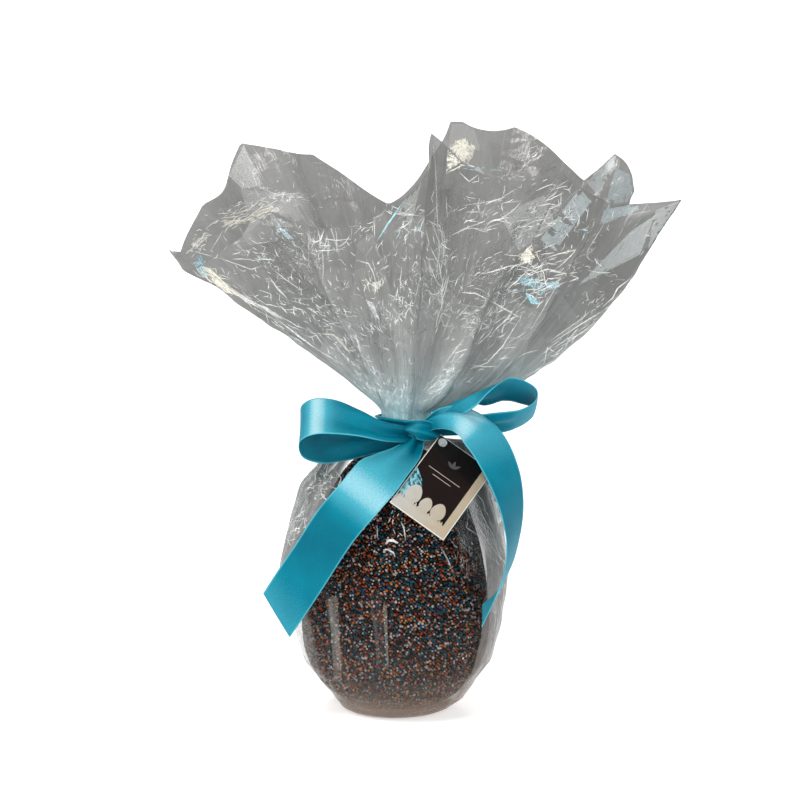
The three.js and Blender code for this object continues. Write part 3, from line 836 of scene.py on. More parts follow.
def film_grid(angles):
    """The smooth form of the film: foot, bag, neck and open fan."""
    base = bag_points(np.array([0.0]), angles)
    shares = np.linspace(0.12, 1, BASE_ROWS, endpoint=False)[:, None, None]
    centre = np.array([BAG_RINGS[0, 1], 0, 0])
    bag = bag_points(NECK_BOTTOM * np.linspace(0, 1, BAG_ROWS), angles)
    neck = bag[-1:].repeat(NECK_ROWS - 1, axis=0)
    lift = np.linspace(0, NECK_TOP - NECK_BOTTOM, NECK_ROWS, endpoint=False)[1:]
    neck[:, :, 2] += lift[:, None]
    flare = flare_points(np.linspace(0, 1, FLARE_ROWS), angles)
    return np.concatenate([centre + (base - centre) * shares, bag, neck, flare])


def film_offset(grid, angles, stand_off, rng):
    """How far wrinkles and pleats lift the film, none where it lies on the egg."""
    height = grid[:, :, 2]
    above = smoothstep(NECK_TOP, NECK_TOP + 60, height)
    loose = smoothstep(1.0, 6.0, stand_off) * smoothstep(1, 6, height)
    wrinkle = 0
    for wavelength, count, on_bag, on_fan in WRINKLES:
        depth = on_bag + (on_fan - on_bag) * above
        wrinkle = wrinkle + depth * crumple(grid, wavelength, count, rng)
    calm = np.where(height > NECK_TOP, smoothstep(NECK_TOP, NECK_TOP + 22, height), loose)
    from_tie = np.abs(height - TIE_HEIGHT)
    gathered = np.exp(-from_tie / 26) * 1.6 * (1 - np.exp(-from_tie / 7))
    return wrinkle * calm + gathered * neck_pleats(angles, rng)[None, :]


def film():
    rng = np.random.default_rng(SEED)
    angles = np.arange(FILM_COLUMNS) * (2 * np.pi / FILM_COLUMNS)
    grid = film_grid(angles)
    height = grid[:, :, 2]
    from_axis = np.hypot(grid[:, :, 0] - EGG_X, grid[:, :, 1])
    stand_off = from_axis - egg_radius(np.minimum(height, EGG_TOP))
    grid = grid + surface_normals(grid) * film_offset(grid, angles, stand_off, rng)[:, :, None]
    grid[:, :, 2] = np.maximum(grid[:, :, 2], FOOT_GAP)
    piece = make_object("film", grid.reshape(-1, 3), grid_faces(len(grid), FILM_COLUMNS, True))
    add_film_marks(piece, grid, angles, bag_veil(height, stand_off, angles))
    return dress(piece, film_material())


def bag_veil(height, stand_off, angles):
    """How hazy the film looks: clear where it lies on the egg, dense in its folds."""
    turn = np.degrees(angles)[None, :] % 360
    veil = smoothstep(8, 13, stand_off)
    for middle, half_width, edge, low, high, strength in VEIL_FOLDS:
        away = np.abs((turn - middle + 180) % 360 - 180)
        level = smoothstep(low, low + 15, height) * (1 - smoothstep(high - 20, high, height))
        fold = strength * (1 - smoothstep(half_width - edge, half_width, away)) * level
        veil = np.maximum(veil, fold)
    # The mist towards the foot is partly painted light that lightens the lower egg.
    mist = np.interp(height, MIST[:, 0], MIST[:, 1])
    return np.maximum(np.maximum(veil, mist), smoothstep(EGG_TOP - 12, EGG_TOP, height))


def add_film_marks(piece, grid, angles, veil):
    """What the film's finish needs to know about each of its points."""
    height = grid[:, :, 2]
    bag = 1 - smoothstep(TIE_HEIGHT - 8, TIE_HEIGHT + 2, height)
    fan_level = 0.2 - 0.02 * smoothstep(0, 90, grid[:, :, 0])
    bag_level = 0.195 - 0.09 * smoothstep(-20, 30, grid[:, :, 0])
    add_numbers(piece, "veil", veil)
    add_numbers(piece, "bag", bag)
    add_numbers(piece, "level", fan_level * (1 - bag) + bag_level * bag)
    add_numbers(piece, "gather", np.exp(-np.maximum(height - TIE_HEIGHT, 0) / 26) * (1 - bag))
    # teal: where the painted reflection of the ribbon shows, just above the tie.
    add_numbers(piece, "teal", np.exp(-np.maximum(height - NECK_TOP, 0) / 9) * (1 - bag))
    # warm: the brown of the foot's mist, partly painted light.
    add_numbers(piece, "warm", np.interp(height, MIST[:, 0], MIST[:, 2]))
    slant = np.concatenate([[0], np.cumsum(np.linalg.norm(np.diff(grid[:, 0], axis=0), axis=1))])
    sheet = np.zeros_like(grid)
    sheet[:, :, 0] = np.cos(angles)[None, :] * 0.1
    sheet[:, :, 1] = slant[:, None] * MM
    sheet[:, :, 2] = np.sin(angles)[None, :] * 0.1
    add_vectors(piece, "sheet", sheet)


def film_flap(name, first, last, inset, reach, seed):
    """A second layer inside the open film, from one angle to another, that ends
    at its own broken edge. reach gives how far out it goes, evenly over its span."""
    rng = np.random.default_rng(SEED + seed)
    columns, rows = 120, 60
    degrees = np.linspace(first, last, columns)
    angles = np.radians(degrees)
    ends = np.interp(degrees, np.linspace(first, last, len(reach)), reach)
    side = np.minimum(degrees - first, last - degrees) / (last - first)
    shares = np.linspace(0.04, 1, rows)
    grid = np.empty((rows, columns, 3))
    for column in range(columns):
        grid[:, column] = flare_points(shares * ends[column], angles[column : column + 1])[:, 0]
    hanging = (0.35 + 0.65 * smoothstep(0, 0.3, side))[None, :]
    depth = inset * smoothstep(0, 0.35, shares)[:, None] * hanging
    folds = 3.5 * crumple(grid, 48, 5, rng) + 1.6 * crumple(grid, 21, 6, rng)
    fade = smoothstep(0.05, 0.4, shares)[:, None]
    grid = grid + surface_normals(grid, closed=False) * (folds * fade - depth)[:, :, None]
    piece = make_object(name, grid.reshape(-1, 3), grid_faces(rows, columns))
    add_film_marks(piece, grid, angles, np.full((rows, columns), FOLD_VEIL))
    return dress(piece, bpy.data.materials["clear_film"])


def film_flaps():
    return [
        film_flap("film_fold_right", 282, 352, 9, (0.35, 0.78, 0.66, 0.92, 0.6), 11),
        film_flap("film_fold_back", 18, 84, 10, (0.7, 0.95, 0.8, 0.9, 0.75, 0.4), 12),
        film_flap("film_fold_left", 150, 222, 9, (0.5, 0.86, 0.7, 0.8, 0.45), 13),
    ]


# The creases and their painted glints


def heading(degrees):
    return np.array([math.cos(math.radians(degrees)), math.sin(math.radians(degrees))])


def aside(way):
    return np.array([-way[1], way[0]])


class CreaseLayer:
    """Thin strips and flat patches laid on the film where it is creased, coloured as painted glints,
    painted reflections of the ribbon and darker patches.
    """

    def __init__(self, pieces):
        self.rng = np.random.default_rng(SEED + 20)
        self.points, self.faces = [], []
        self.shine, self.tint = [], []
        vertices, polygons = [], []
        for piece in pieces:
            shift = len(vertices)
            vertices += [vertex.co / MM for vertex in piece.data.vertices]
            polygons += [[shift + k for k in polygon.vertices] for polygon in piece.data.polygons]
        self.tree = BVHTree.FromPolygons(vertices, polygons)
        self.look_from(0, math.degrees(VIEW_ELEVATION))

    def look_from(self, around, up):
        """Turns the places of later creases to another side of the film."""
        turn = Matrix.Rotation(math.radians(around), 3, "Z")
        rise = math.radians(up)
        back = turn @ Vector((0, -math.cos(rise), math.sin(rise)))
        self.across = turn @ Vector((1, 0, 0))
        steep = up > STEEP
        self.upward = back.cross(self.across) if steep else Vector((0, 0, 1))
        self.middle = Vector((0, 0, 200 if steep else 0))
        self.eye = (VIEW_TARGET + back * VIEW_DISTANCE) / MM

    def touch(self, x, z):
        """The film's place and way out where the eye meets it first."""
        aim = self.middle + self.across * x + self.upward * z
        way = (aim - self.eye).normalized()
        place, normal, _, _ = self.tree.ray_cast(self.eye, way)
        if place is None:
            return None
        return place, -normal if normal.dot(way) > 0 else normal

    def crease(self, bends, half_width, shine, tint):
        """A crease through its bends. It breaks off where the film does."""
        bends = np.asarray(bends, dtype=float)
        places = [bends[0]]
        for start, end in zip(bends, bends[1:]):
            steps = max(2, round(float(np.linalg.norm(end - start)) / CREASE_STEP))
            places += [start + (end - start) * k / steps for k in range(1, steps + 1)]
        run = []
        for x, z in np.array(places) + self.rng.normal(0, CREASE_JITTER, (len(places), 2)):
            found = self.touch(x, z)
            if run and (found is None or (found[0] - run[-1][0]).length > CREASE_JUMP):
                self.lay(run, half_width, shine, tint)
                run = []
            if found:
                run.append(found)
        self.lay(run, half_width, shine, tint)

    def lay(self, run, half_width, shine, tint):
        """One unbroken strip, narrow and faint at its ends."""
        if len(run) < 3:
            return
        count = len(run)
        first = len(self.points)
        taper = np.sin(np.pi * (np.arange(count) + 0.5) / count)
        glow = shine * taper**0.5 * self.rng.uniform(0.65, 1.0, count)
        for k, (place, normal) in enumerate(run):
            along = run[min(k + 1, count - 1)][0] - run[max(k - 1, 0)][0]
            side = normal.cross(along).normalized() * half_width * (0.4 + 0.6 * taper[k])
            lifted = place + normal * CREASE_LIFT
            self.points += [lifted - side, lifted + side]
        for k in range(first, first + 2 * count - 2, 2):
            self.faces.append((k, k + 2, k + 3, k + 1))
        self.shine += np.repeat(glow, 2).tolist()
        self.tint += [tint] * (2 * count)

    def panel(self, corners, shine, tint):
        """A flat part of the film between folds, a little lighter or darker; the bright ones are
        painted glints.
        """
        a, b, c, d = np.array(corners, dtype=float)
        first = len(self.points)
        found = []
        steps = np.linspace(0, 1, PANEL_STEPS + 1)
        for up in steps:
            for along in steps:
                low = a * (1 - along) + b * along
                high = d * (1 - along) + c * along
                hit = self.touch(*(low * (1 - up) + high * up))
                found.append(hit)
                self.points.append(hit[0] + hit[1] * CREASE_LIFT / 2 if hit else Vector((0, 0, 150)))
                glint = self.rng.uniform(*CRUMPLED) if shine > SOFT_SHINE else 1
                self.shine.append(min(1.0, shine * glint))
                self.tint.append(tint)
        for quad in grid_faces(PANEL_STEPS + 1, PANEL_STEPS + 1).tolist():
            hits = [found[k] for k in quad]
            if all(hits) and max((hit[0] - hits[0][0]).length for hit in hits) < PANEL_JUMP:
                self.faces.append([first + k for k in quad])

    def crinkle(self, x, z, length, breadth, direction, spread, count, longest, shine, tint):
        """Many short creases about one place."""
        way = heading(direction)
        for _ in range(count):
            along = self.rng.normal(0, 0.55) * length
            beside = self.rng.normal(0, 0.55) * breadth
            start = np.array([x, z]) + way * along + aside(way) * beside
            step = heading(self.rng.normal(direction, spread)) * longest
            step = step * (0.25 + 0.75 * self.rng.random() ** 1.6)
            kink = self.rng.normal(0, 0.25 if self.rng.random() < 0.35 else 0.04)
            bow = aside(step) * kink + step * self.rng.uniform(-0.2, 0.2)
            half_width = self.rng.uniform(0.1, 0.2) * (1 + 0.03 * longest)
            glow = min(1.0, shine * self.rng.uniform(0.3, 1.7))
            bends = [start - step / 2, start + bow, start + step / 2]
            self.crease(bends, half_width, glow, tint + self.rng.normal(0, 0.18))


def film_crease_glints(pieces):
    layer = CreaseLayer(pieces)
    # Each crinkle, crease and panel carries a painted glint, a painted ribbon reflection or a darker
    # patch, by its tint.
    for row in CRINKLES:
        layer.crinkle(*row)
    for shine, half_width, tint, bends in CREASES:
        layer.crease(bends, half_width, shine, tint)
    for shine, tint, corners in PANELS:
        layer.panel(corners, shine, tint)
    for around, up in OTHER_SIDES:
        layer.look_from(around, up)
        for _ in range(SIDE_FIELDS):
            x, z = layer.rng.uniform(-70, 70), layer.rng.uniform(175, 285)
            if up > STEEP:
                z -= FAN_MIDDLE
            layer.crinkle(x, z, 16, 7, layer.rng.uniform(-60, 60), 25, 16, 9, 0.6, 0.1)
    piece = make_object("film_crease_glints", layer.points, layer.faces)
    add_numbers(piece, "shine", layer.shine)
    add_numbers(piece, "tint", layer.tint)
    piece.visible_shadow = False
    piece.visible_diffuse = False
    dress(piece, crease_glint_material())


# The egg and its beads


def chocolate_egg():
    rows, columns = 90, 120
    angles = np.arange(columns) * (2 * np.pi / columns)
    radius, height = (part[-2:0:-1] for part in egg_profile(rows + 2, CHOCOLATE_DEPTH))
    grid = ring_points(EGG_X, radius[:, None], radius[:, None], height, angles)
    rng = np.random.default_rng(SEED + 1)
    grid += surface_normals(grid) * (0.25 * crumple(grid, 30, 4, rng))[:, :, None]
    piece = make_object("chocolate_egg", grid.reshape(-1, 3), grid_faces(rows, columns, True))
    cap_ends(piece, rows, columns)
    dress(piece, chocolate_material())


def cap_ends(piece, rows, columns):
    """Closes the small holes at the two ends of a lathed body."""
    shape = bmesh.new()
    shape.from_mesh(piece.data)
    shape.verts.ensure_lookup_table()
    first = [shape.verts[k] for k in range(columns)]
    last = [shape.verts[(rows - 1) * columns + k] for k in range(columns)]
    shape.faces.new(first[::-1])
    shape.faces.new(last)
    bmesh.ops.recalc_face_normals(shape, faces=shape.faces)
    shape.to_mesh(piece.data)
    shape.free()


def bead_places(rng):
    """Evenly spread, slightly jittered places on the egg."""
    turn = np.arange(2000)
    radius, height = egg_profile(len(turn), BEAD_RADIUS)
    step = np.hypot(np.diff(radius), np.diff(height))
    ring = np.pi * (radius[1:] + radius[:-1]) * step
    area = np.concatenate([[0], np.cumsum(ring)])
    count = int(area[-1] / (BEAD_PITCH**2 * math.sqrt(3) / 2))
    share = (np.arange(count) + 0.5) / count * area[-1]
    at = np.interp(share, area, turn)
    length = np.concatenate([[0], np.cumsum(step)])
    at = np.interp(np.interp(at, turn, length) + rng.normal(0, BEAD_JITTER, count), length, turn)
    r = np.interp(at, turn, radius)
    z = np.interp(at, turn, height)
    golden = np.pi * (3 - math.sqrt(5))
    jitter = rng.normal(0, BEAD_JITTER, count) / np.maximum(r, 1.5)
    angle = golden * np.arange(count) + jitter
    return np.stack([EGG_X + r * np.cos(angle), r * np.sin(angle), z], axis=1)


def bead_form():
    """A small round bead with twenty sides."""
    golden = (1 + math.sqrt(5)) / 2
    corners = [
        (-1, golden, 0), (1, golden, 0), (-1, -golden, 0), (1, -golden, 0),
        (0, -1, golden), (0, 1, golden), (0, -1, -golden), (0, 1, -golden),
        (golden, 0, -1), (golden, 0, 1), (-golden, 0, -1), (-golden, 0, 1),
    ]
    sides = [
        (0, 11, 5), (0, 5, 1), (0, 1, 7), (0, 7, 10), (0, 10, 11),
        (1, 5, 9), (5, 11, 4), (11, 10, 2), (10, 7, 6), (7, 1, 8),
        (3, 9, 4), (3, 4, 2), (3, 2, 6), (3, 6, 8), (3, 8, 9),
        (4, 9, 5), (2, 4, 11), (6, 2, 10), (8, 6, 7), (9, 8, 1),
    ]
    return np.array(corners) / math.hypot(1, golden), np.array(sides)


def sugar_beads():
    rng = np.random.default_rng(SEED + 2)
    places = bead_places(rng)
    kinds = rng.choice(len(BEAD_KINDS), len(places), p=[share for _, share, _ in BEAD_KINDS])
    sizes = BEAD_RADIUS * np.clip(rng.lognormal(0, 0.17, len(places)), 0.68, 1.6)
    corners, sides = bead_form()
    for index, (name, _, shade) in enumerate(BEAD_KINDS):
        mine = places[kinds == index]
        size = sizes[kinds == index]
        points = mine[:, None, :] + corners[None, :, :] * size[:, None, None]
        faces = sides[None, :, :] + (np.arange(len(mine)) * len(corners))[:, None, None]
        piece = make_object("sugar_beads_" + name, points.reshape(-1, 3), faces.reshape(-1, 3))
        dress(piece, bead_material("sugar_" + name, shade))


# The ribbon

# Each row holds the ribbon's middle, the way across it, its width, how far it
# arches and its painted light, from about -1 for painted shade where it lies deep
# to about 1 and a little over for a painted highlight where it shines
LEFT_LOOP = [
    (6, -19, 147.5, 0, 0.3, 0.95, 8, 0, -0.8),
    (-8, -25, 150, 0, 0.6, 0.8, 13, 0, -0.1),
    (-20, -28.5, 154.5, 0, 0.72, 0.7, 19, 0, 0.0),
    (-32, -29.5, 157.8, 0, 0.72, 0.7, 23, 0, 0.2),
    (-43, -28.5, 158.3, 0, 0.72, 0.7, 24, 0, 1.15),
    (-50, -25, 155, 0, 0.72, 0.7, 24, 0, 0),
    (-51.5, -20.5, 150, 0, 0.72, 0.7, 24, 0, 0.1),
    (-49, -16.5, 144.5, 0, 0.72, 0.7, 24, 0, 0.15),
    (-40, -15, 141.8, 0, 0.72, 0.7, 24, 0, 0.15),
    (-28, -14.8, 142.4, 0, 0.72, 0.7, 21, 0, 0.1),
    (-14, -16, 144.5, 0, 0.6, 0.8, 15, 0, -0.4),
    (6, -16, 146.5, 0, 0.3, 0.95, 8, 0, -0.9),
]
RIGHT_LOOP = [
    (14, -18, 151.5, 0, 0.9, 0.3, 8, 0, -0.4),
    (32.2, -20.5, 162.5, -0.2, 0.95, 0.1, 14, 2, 0.25),
    (43.5, -25, 166.5, -0.05, 0.9, -0.43, 22, 3, 0.1),
    (54, -26, 171.5, 0, 0.84, -0.54, 24, 1, -0.05),
    (62.5, -27, 170.3, 0, 0.83, -0.56, 24, 0.5, 0),
    (69, -26.5, 166.7, 0, 0.88, -0.47, 24, 0, 0.05),
    (68, -25, 161, 0, 0.9, -0.43, 24, 0, 0.1),
    (59.5, -22, 155.8, 0, 0.88, -0.47, 24, 0, 0.05),
    (46, -16.5, 153, 0, 0.85, -0.5, 21, 0, -0.05),
    (31, -13.5, 151.5, 0, 0.85, -0.5, 15, 0, -0.3),
    (14, -15.5, 150, 0, 0.8, -0.6, 7, 0, -0.7),
]
RIGHT_TAIL = [
    (12, -19.5, 152, 0.2, 0.6, 0.75, 8, 0, -0.7),
    (19, -25, 156.3, 0, 0.7, 0.7, 12, 0.5, 0.1),
    (27, -29, 157.3, 0.1, 0.8, 0.6, 18, 1, 0.75),
    (34.5, -31, 154.4, 0.35, 0.75, 0.5, 22, 1, 1.1),
    (41, -32, 148.9, 0.65, 0.65, 0.35, 24, 0.5, 0.6),
    (46.5, -32, 141.3, 0.78, 0.6, 0.2, 24, 0, 0.3),
    (51.5, -32, 131, 0.75, 0.65, 0.1, 24, 0, -0.05),
    (55, -33, 120.8, 0.65, 0.75, 0.05, 24, 0, -0.25),
    (57.3, -35, 108.5, 0.5, 0.86, 0, 24, 0, -0.3),
    (57.4, -38, 95.3, 0.33, 0.94, 0, 24, 0, -0.15),
    (54.6, -43, 82.1, 0.22, 0.97, 0, 24, 0, 0.1),
    (48.3, -49, 69.8, 0.12, 0.99, 0, 24, 0, 0.45),
    (41, -54.5, 60.5, 0.05, 0.96, 0.25, 25, 0, 0.45),
]
LEFT_TAIL = [
    (9, -19, 146.5, 0.95, -0.1, -0.2, 7, 0, -0.7),
    (6.5, -24, 142.5, 0.85, -0.1, -0.5, 11, 0, -0.2),
    (2.6, -31, 138.9, 0.83, -0.1, -0.55, 15, 0, 0.25),
    (-4.5, -38.5, 134.5, 0.8, -0.13, -0.58, 20, 0.5, 0.5),
    (-10.8, -44, 129.8, 0.79, -0.15, -0.6, 24, 1, 0.7),
    (-20, -47.5, 119.4, 0.78, -0.15, -0.6, 24, 1, 0.95),
    (-32.5, -48.5, 104.6, 0.77, -0.16, -0.62, 24, 0, -0.35),
    (-45.6, -48, 84.4, 0.76, -0.18, -0.63, 24, 0, -0.25),
    (-62.4, -45.5, 58.8, 0.52, -0.1, -0.85, 26, 0, 0.4),
]
KNOT_FOLD = [
    (2, -17.5, 151, 0.2, 0, 1, 6, 0, -0.3),
    (7.5, -22.3, 151, 0.25, 0, 1, 9.5, 1, 0.3),
    (12.5, -24.2, 150.4, 0.3, -0.05, 1, 11, 1.5, -0.2),
    (17.5, -23.4, 149, 0.35, -0.05, 1, 9.5, 1, -0.6),
    (20.5, -19.5, 148, 0.3, 0, 1, 7, 0, -1),
]


def ribbon_sheet(stations, folds, phase):
    """The ribbon's middle line, its surface, the way out of it and its painted light of
    highlights and shade. Where it is drawn in, lengthwise folds take up its width."""
    stations = np.array(stations, dtype=float)
    places = np.linspace(0, len(stations) - 1, (len(stations) - 1) * RIBBON_STEPS + 1)
    middle = catmull_rom(stations[:, :3], places)
    width, arch, painted_light = (catmull_rom(stations[:, k : k + 1], places) for k in (6, 7, 8))
    across = units(catmull_rom(units(stations[:, 3:6]), places))
    out = units(np.cross(units(np.gradient(middle, axis=0)), across))[:, None, :]
    spare = np.sqrt(np.maximum(RIBBON_WIDTH / width - 1, 0))
    fold = np.cos(2 * np.pi * folds * RIBBON_SHARES + phase)
    fold = fold * 0.75 * width / (np.pi * folds) * spare
    crown = (0.35 * width / RIBBON_WIDTH + arch) * (1 - (2 * RIBBON_SHARES) ** 2)
    sheet = middle[:, None, :] + across[:, None, :] * (RIBBON_SHARES * width)[:, :, None]
    return middle, sheet + out * (fold + crown)[:, :, None], out, painted_light


def strip_ends(rows, columns):
    """Quads that close a strip at its two ends."""
    near = np.arange(RIBBON_ACROSS)
    far = columns - 1 - near
    first = np.stack([near, far, far - 1, near + 1], axis=1)
    last = np.stack([near, near + 1, far - 1, far], axis=1) + (rows - 1) * columns
    return first, last


def ribbon_strip(stations, folds, phase):
    """A thin closed strip of ribbon, with what its satin needs to know."""
    middle, sheet, out, painted_light = ribbon_sheet(stations, folds, phase)
    half = out * (RIBBON_THICKNESS / 2)
    ring = np.concatenate([sheet + half, (sheet - half)[:, ::-1]], axis=1)
    rows, columns = ring.shape[:2]
    share = np.concatenate([RIBBON_SHARES, RIBBON_SHARES[::-1]])
    weave = np.zeros((rows, columns, 3))
    steps = np.linalg.norm(np.diff(middle, axis=0, prepend=middle[:1]), axis=1)
    weave[:, :, 0] = np.cumsum(steps)[:, None]
    weave[:, :, 1] = share * RIBBON_WIDTH
    return {
        "points": ring.reshape(-1, 3),
        "faces": np.vstack([grid_faces(rows, columns, True), *strip_ends(rows, columns)]),
        "weave": weave.reshape(-1, 3) * MM,
        "across": np.tile(np.abs(share * 2), rows),
        "painted_light": np.repeat(painted_light, columns, axis=1).ravel(),
    }


def band_stations():
    """The ribbon's turn round the neck, with a short overlap."""
    half_width, half_depth = NECK_HALF_WIDTH + 2.9, NECK_HALF_DEPTH + 2.9
    rows = []
    for turn in np.linspace(0, 2 * np.pi, 25).tolist() + [2 * np.pi / 24 * 25]:
        x, y = half_width * math.cos(turn), half_depth * math.sin(turn)
        lift = -0.1 * (NECK_HALF_WIDTH + 3) * math.cos(turn)
        rows.append((NECK_X + x, y, TIE_HEIGHT + lift, 0.1, 0, 1, 7.5, 0, -0.15))
    return rows


def ribbon():
    strips = [ribbon_strip(LEFT_LOOP, 1.5, 0.6), ribbon_strip(RIGHT_LOOP, 1.5, 2.1)]
    strips += [ribbon_strip(RIGHT_TAIL, 1.5, 0.2), ribbon_strip(LEFT_TAIL, 1.5, 1.2)]
    strips += [ribbon_strip(band_stations(), 2.5, 0.4), ribbon_strip(KNOT_FOLD, 1.5, 0.8)]
    counts = [len(strip["points"]) for strip in strips]
    shifts = np.cumsum([0, *counts[:-1]])
    points = np.vstack([strip["points"] for strip in strips])
    faces = np.vstack([strip["faces"] + shift for strip, shift in zip(strips, shifts)])
    piece = make_object("satin_ribbon", points, faces)
    add_vectors(piece, "weave", np.vstack([strip["weave"] for strip in strips]))
    for name in ("across", "painted_light"):
        add_numbers(piece, name, np.concatenate([strip[name] for strip in strips]))
    dress(piece, satin_material(), "ribbon_bow")


# The tag

TAG_EGGS = [("left", 7.2, 8.2, 11), ("middle", 15.4, 6.4, 8.4), ("right", 22.6, 7.4, 9.8)]


def tag_place(along, up, out):
    """A point on the card, from its low left corner, in millimetres."""
    return TAG_LOW_LEFT + TAG_ALONG * along + TAG_UP * up + TAG_OUT * out


def plate(name, outline, back, front, material, bevel=0.0):
    """A flat plate on the card with the given outline, from back to front."""
    count = len(outline)
    points = [tuple(tag_place(x, y, depth)) for depth in (back, front) for x, y in outline]
    faces = [list(range(count))[::-1], [count + k for k in range(count)]]
    faces += [[k, (k + 1) % count, count + (k + 1) % count, count + k] for k in range(count)]
    piece = make_object(name, points, faces, smooth=False)
    add_numbers(piece, "along", [x / TAG_WIDTH for _ in (0, 1) for x, y in outline])
    if bevel:
        add_bevel(piece, bevel)
    return dress(piece, material, solid=None)


def add_bevel(piece, width):
    shape = bmesh.new()
    shape.from_mesh(piece.data)
    bmesh.ops.bevel(shape, geom=shape.edges[:], offset=width * MM, segments=2, affect="EDGES")
    shape.to_mesh(piece.data)
    shape.free()


def rectangle(left, low, right, high):
    return [(left, low), (right, low), (right, high), (left, high)]


def egg_outline(x, y, width, height):
    """A plain egg shape standing on the point x, y."""
    turns = np.linspace(0, 2 * np.pi, 36, endpoint=False)
    lean = 1 - 0.16 * np.sin(turns)
    return [
        (x + width / 2 * math.cos(t) * k, y + height / 2 * (1 + math.sin(t)))
        for t, k in zip(turns, lean)
    ]


def leaf_outline(x, y, length, width, turn):
    """A pointed leaf with its stalk end at x, y."""
    shares = np.linspace(0, 1, 9)
    swell = width / 2 * np.sin(np.pi * shares)
    sides = [(l * length, w) for l, w in zip(shares, swell)]
    sides += [(l * length, -w) for l, w in zip(shares[-2:0:-1], swell[-2:0:-1])]
    lean = math.radians(turn)
    return [
        (x + l * math.cos(lean) - w * math.sin(lean), y + l * math.sin(lean) + w * math.cos(lean))
        for l, w in sides
    ][::-1]


def grass_outline(left, right, low, tuft, blades):
    """A row of small pointed blades on a level base."""
    rng = np.random.default_rng(SEED + 5)
    points = [(left, low), (right, low)]
    step = (right - left) / blades
    for blade in range(blades, 0, -1):
        tip = tuft * (0.55 + 0.45 * rng.random())
        points.append((left + step * (blade - 0.3 - 0.4 * rng.random()), low + tip))
        points.append((left + step * (blade - 1), low + 0.35))
    return points


def tag():
    front = TAG_THICKNESS / 2
    ink = front + PRINT_THICKNESS
    top = ink + PRINT_THICKNESS
    board = rectangle(0, 0, TAG_WIDTH, TAG_HEIGHT)
    card = plate("card_tag", board, -front, front, card_material(), CARD_BEVEL)
    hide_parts("gift_tag")
    dark = dark_print_material()
    cream = cream_print_material()
    plate("tag_dark_field", rectangle(0.5, 6.2, 28.6, TAG_HEIGHT - 0.5), front, ink, dark)
    plate("tag_side_band", rectangle(28.6, 0.5, 32.5, TAG_HEIGHT - 0.5), front, ink, cream)
    plate("tag_foot_band", rectangle(0.5, 0.5, 28.6, 6.2), front, ink, cream)
    # A painted reflection of the ribbon, laid as a thin plate over the dark print.
    reflection_outline = [(0.6, 6.2), (8.5, 6.2), (11.5, 9.5), (10, 15), (6.5, 20.5), (0.6, 25)]
    plate("tag_ribbon_reflection", reflection_outline, ink, ink + PRINT_THICKNESS / 3, ribbon_reflection_material())
    grey = grey_print_material()
    for name, turn in (("left", 148), ("middle", 100), ("right", 52)):
        plate("tag_leaf_" + name, leaf_outline(15.5, 35.5, 4.6, 1.7, turn), ink, top, grey)
    for name, x, width, height in TAG_EGGS:
        plate("tag_egg_" + name, egg_outline(x, 6.2, width, height), ink, top, cream)
    plate("tag_grass", grass_outline(0.9, 28.2, 6.0, 3.0, 17), ink, top + PRINT_THICKNESS, cream)
    plate("tag_rule_upper", rectangle(5, 29.2, 24, 29.5), ink, top, cream)
    plate("tag_rule_lower", rectangle(9, 26.6, 20, 26.9), ink, top, cream)


def fastener(columns=40):
    """A small clear round head with a raised rim, at the card's top corner."""
    low = TAG_THICKNESS / 2 + PRINT_THICKNESS + 0.05
    centre = tag_place(FASTENER_INSET, TAG_HEIGHT - FASTENER_INSET, low)
    points = []
    for radius, height in FASTENER_PROFILE:
        for k in range(columns):
            turn = 2 * math.pi * k / columns
            reach = TAG_ALONG * math.cos(turn) + TAG_UP * math.sin(turn)
            points.append(centre + reach * radius + TAG_OUT * height)
    rows = len(FASTENER_PROFILE)
    piece = make_object("clear_fastener", points, grid_faces(rows, columns, True))
    cap_ends(piece, rows, columns)
    dress(piece, clear_plastic_material(), "tag_fastener")


# The stage, the light and the camera

# Name, place, size, power and tint
LIGHTS = [
    ("key_light", (-0.5, -0.75, 1.15), (0.3, 0.3), 9, (1.0, 0.98, 0.95)),
    ("fill_light", (0.9, -0.5, 0.7), (0.25, 0.4), 2, (0.95, 0.98, 1.0)),
    ("back_light", (0.35, 0.8, 0.9), (0.3, 0.3), 4, (1, 1, 1)),
    ("side_light", (-0.95, 0.25, 0.45), (0.2, 0.4), 2, (1, 1, 1)),
]
WORLD_STRENGTH = 0.22


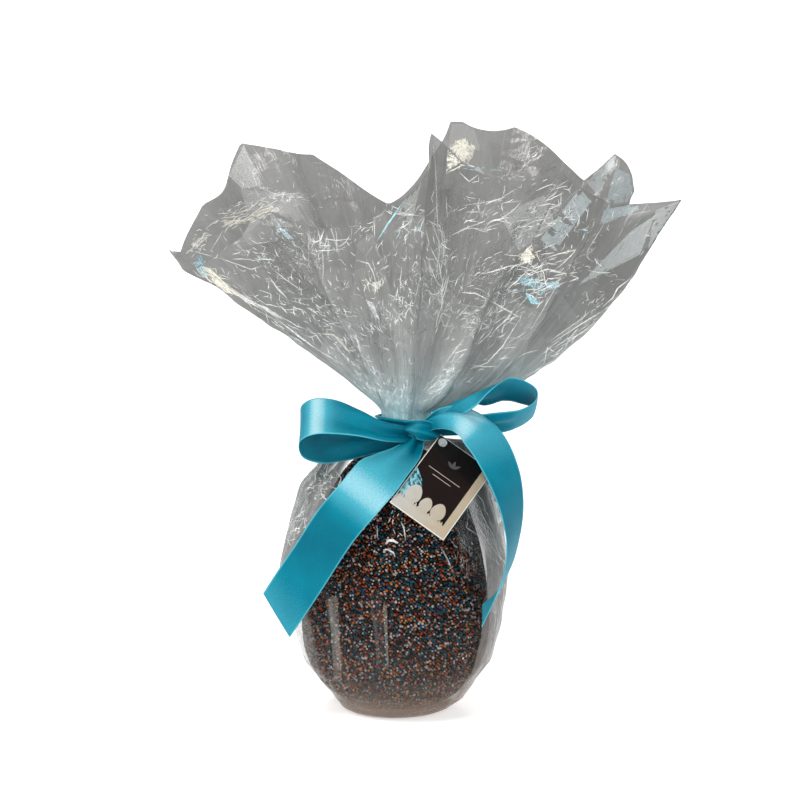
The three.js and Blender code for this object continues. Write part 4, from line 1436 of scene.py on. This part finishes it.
def stage():
    """A pale round floor that curves up into a low wall all round."""
    flat, bend, wall, columns = 2200, 900, 1300, 96
    profile = [(20, 0), (600, 0), (flat, 0)]
    for turn in np.linspace(0, math.pi / 2, 13)[1:]:
        profile.append((flat + bend * math.sin(turn), bend * (1 - math.cos(turn))))
    profile.append((flat + bend, wall))
    radius, height = np.array(profile).T
    angles = np.arange(columns) * (2 * np.pi / columns)
    grid = ring_points(0, radius[:, None], radius[:, None], height, angles)
    faces = grid_faces(len(profile), columns, True).tolist()
    faces.append(list(range(columns))[::-1])
    floor = new_object("floor", grid.reshape(-1, 3), faces)
    floor.data.materials.append(floor_material())


def area_light(name, place, size, power, tint):
    light = bpy.data.lights.new(name, "AREA")
    light.shape = "RECTANGLE"
    light.size, light.size_y = size
    light.energy = power
    light.color = tint
    lamp = bpy.data.objects.new(name, light)
    lamp.location = place
    lamp.rotation_euler = (VIEW_TARGET - Vector(place)).to_track_quat("-Z", "Y").to_euler()
    bpy.context.scene.collection.objects.link(lamp)


def lights():
    for row in LIGHTS:
        area_light(*row)
    world = bpy.data.worlds.new("soft_world")
    world.use_nodes = True
    background = world.node_tree.nodes["Background"]
    background.inputs["Color"].default_value = (1, 1, 1, 1)
    background.inputs["Strength"].default_value = WORLD_STRENGTH
    bpy.context.scene.world = world


def camera():
    data = bpy.data.cameras.new("camera")
    data.sensor_width = SENSOR
    data.lens = VIEW_DISTANCE / METRES_PER_PIXEL / FRAME_PIXELS * SENSOR
    data.clip_end = 20
    view = bpy.data.objects.new("camera", data)
    back = Vector((0, -math.cos(VIEW_ELEVATION), math.sin(VIEW_ELEVATION)))
    view.location = VIEW_TARGET + back * VIEW_DISTANCE
    view.rotation_euler = (-back).to_track_quat("-Z", "Y").to_euler()
    bpy.context.scene.collection.objects.link(view)
    bpy.context.scene.camera = view


camera()
lights()
stage()
film_crease_glints([film(), *film_flaps()])
chocolate_egg()
sugar_beads()
ribbon()
tag()
fastener()
scene = bpy.context.scene
scene.view_settings.view_transform = "Standard"
scene.cycles.transparent_max_bounces = 24
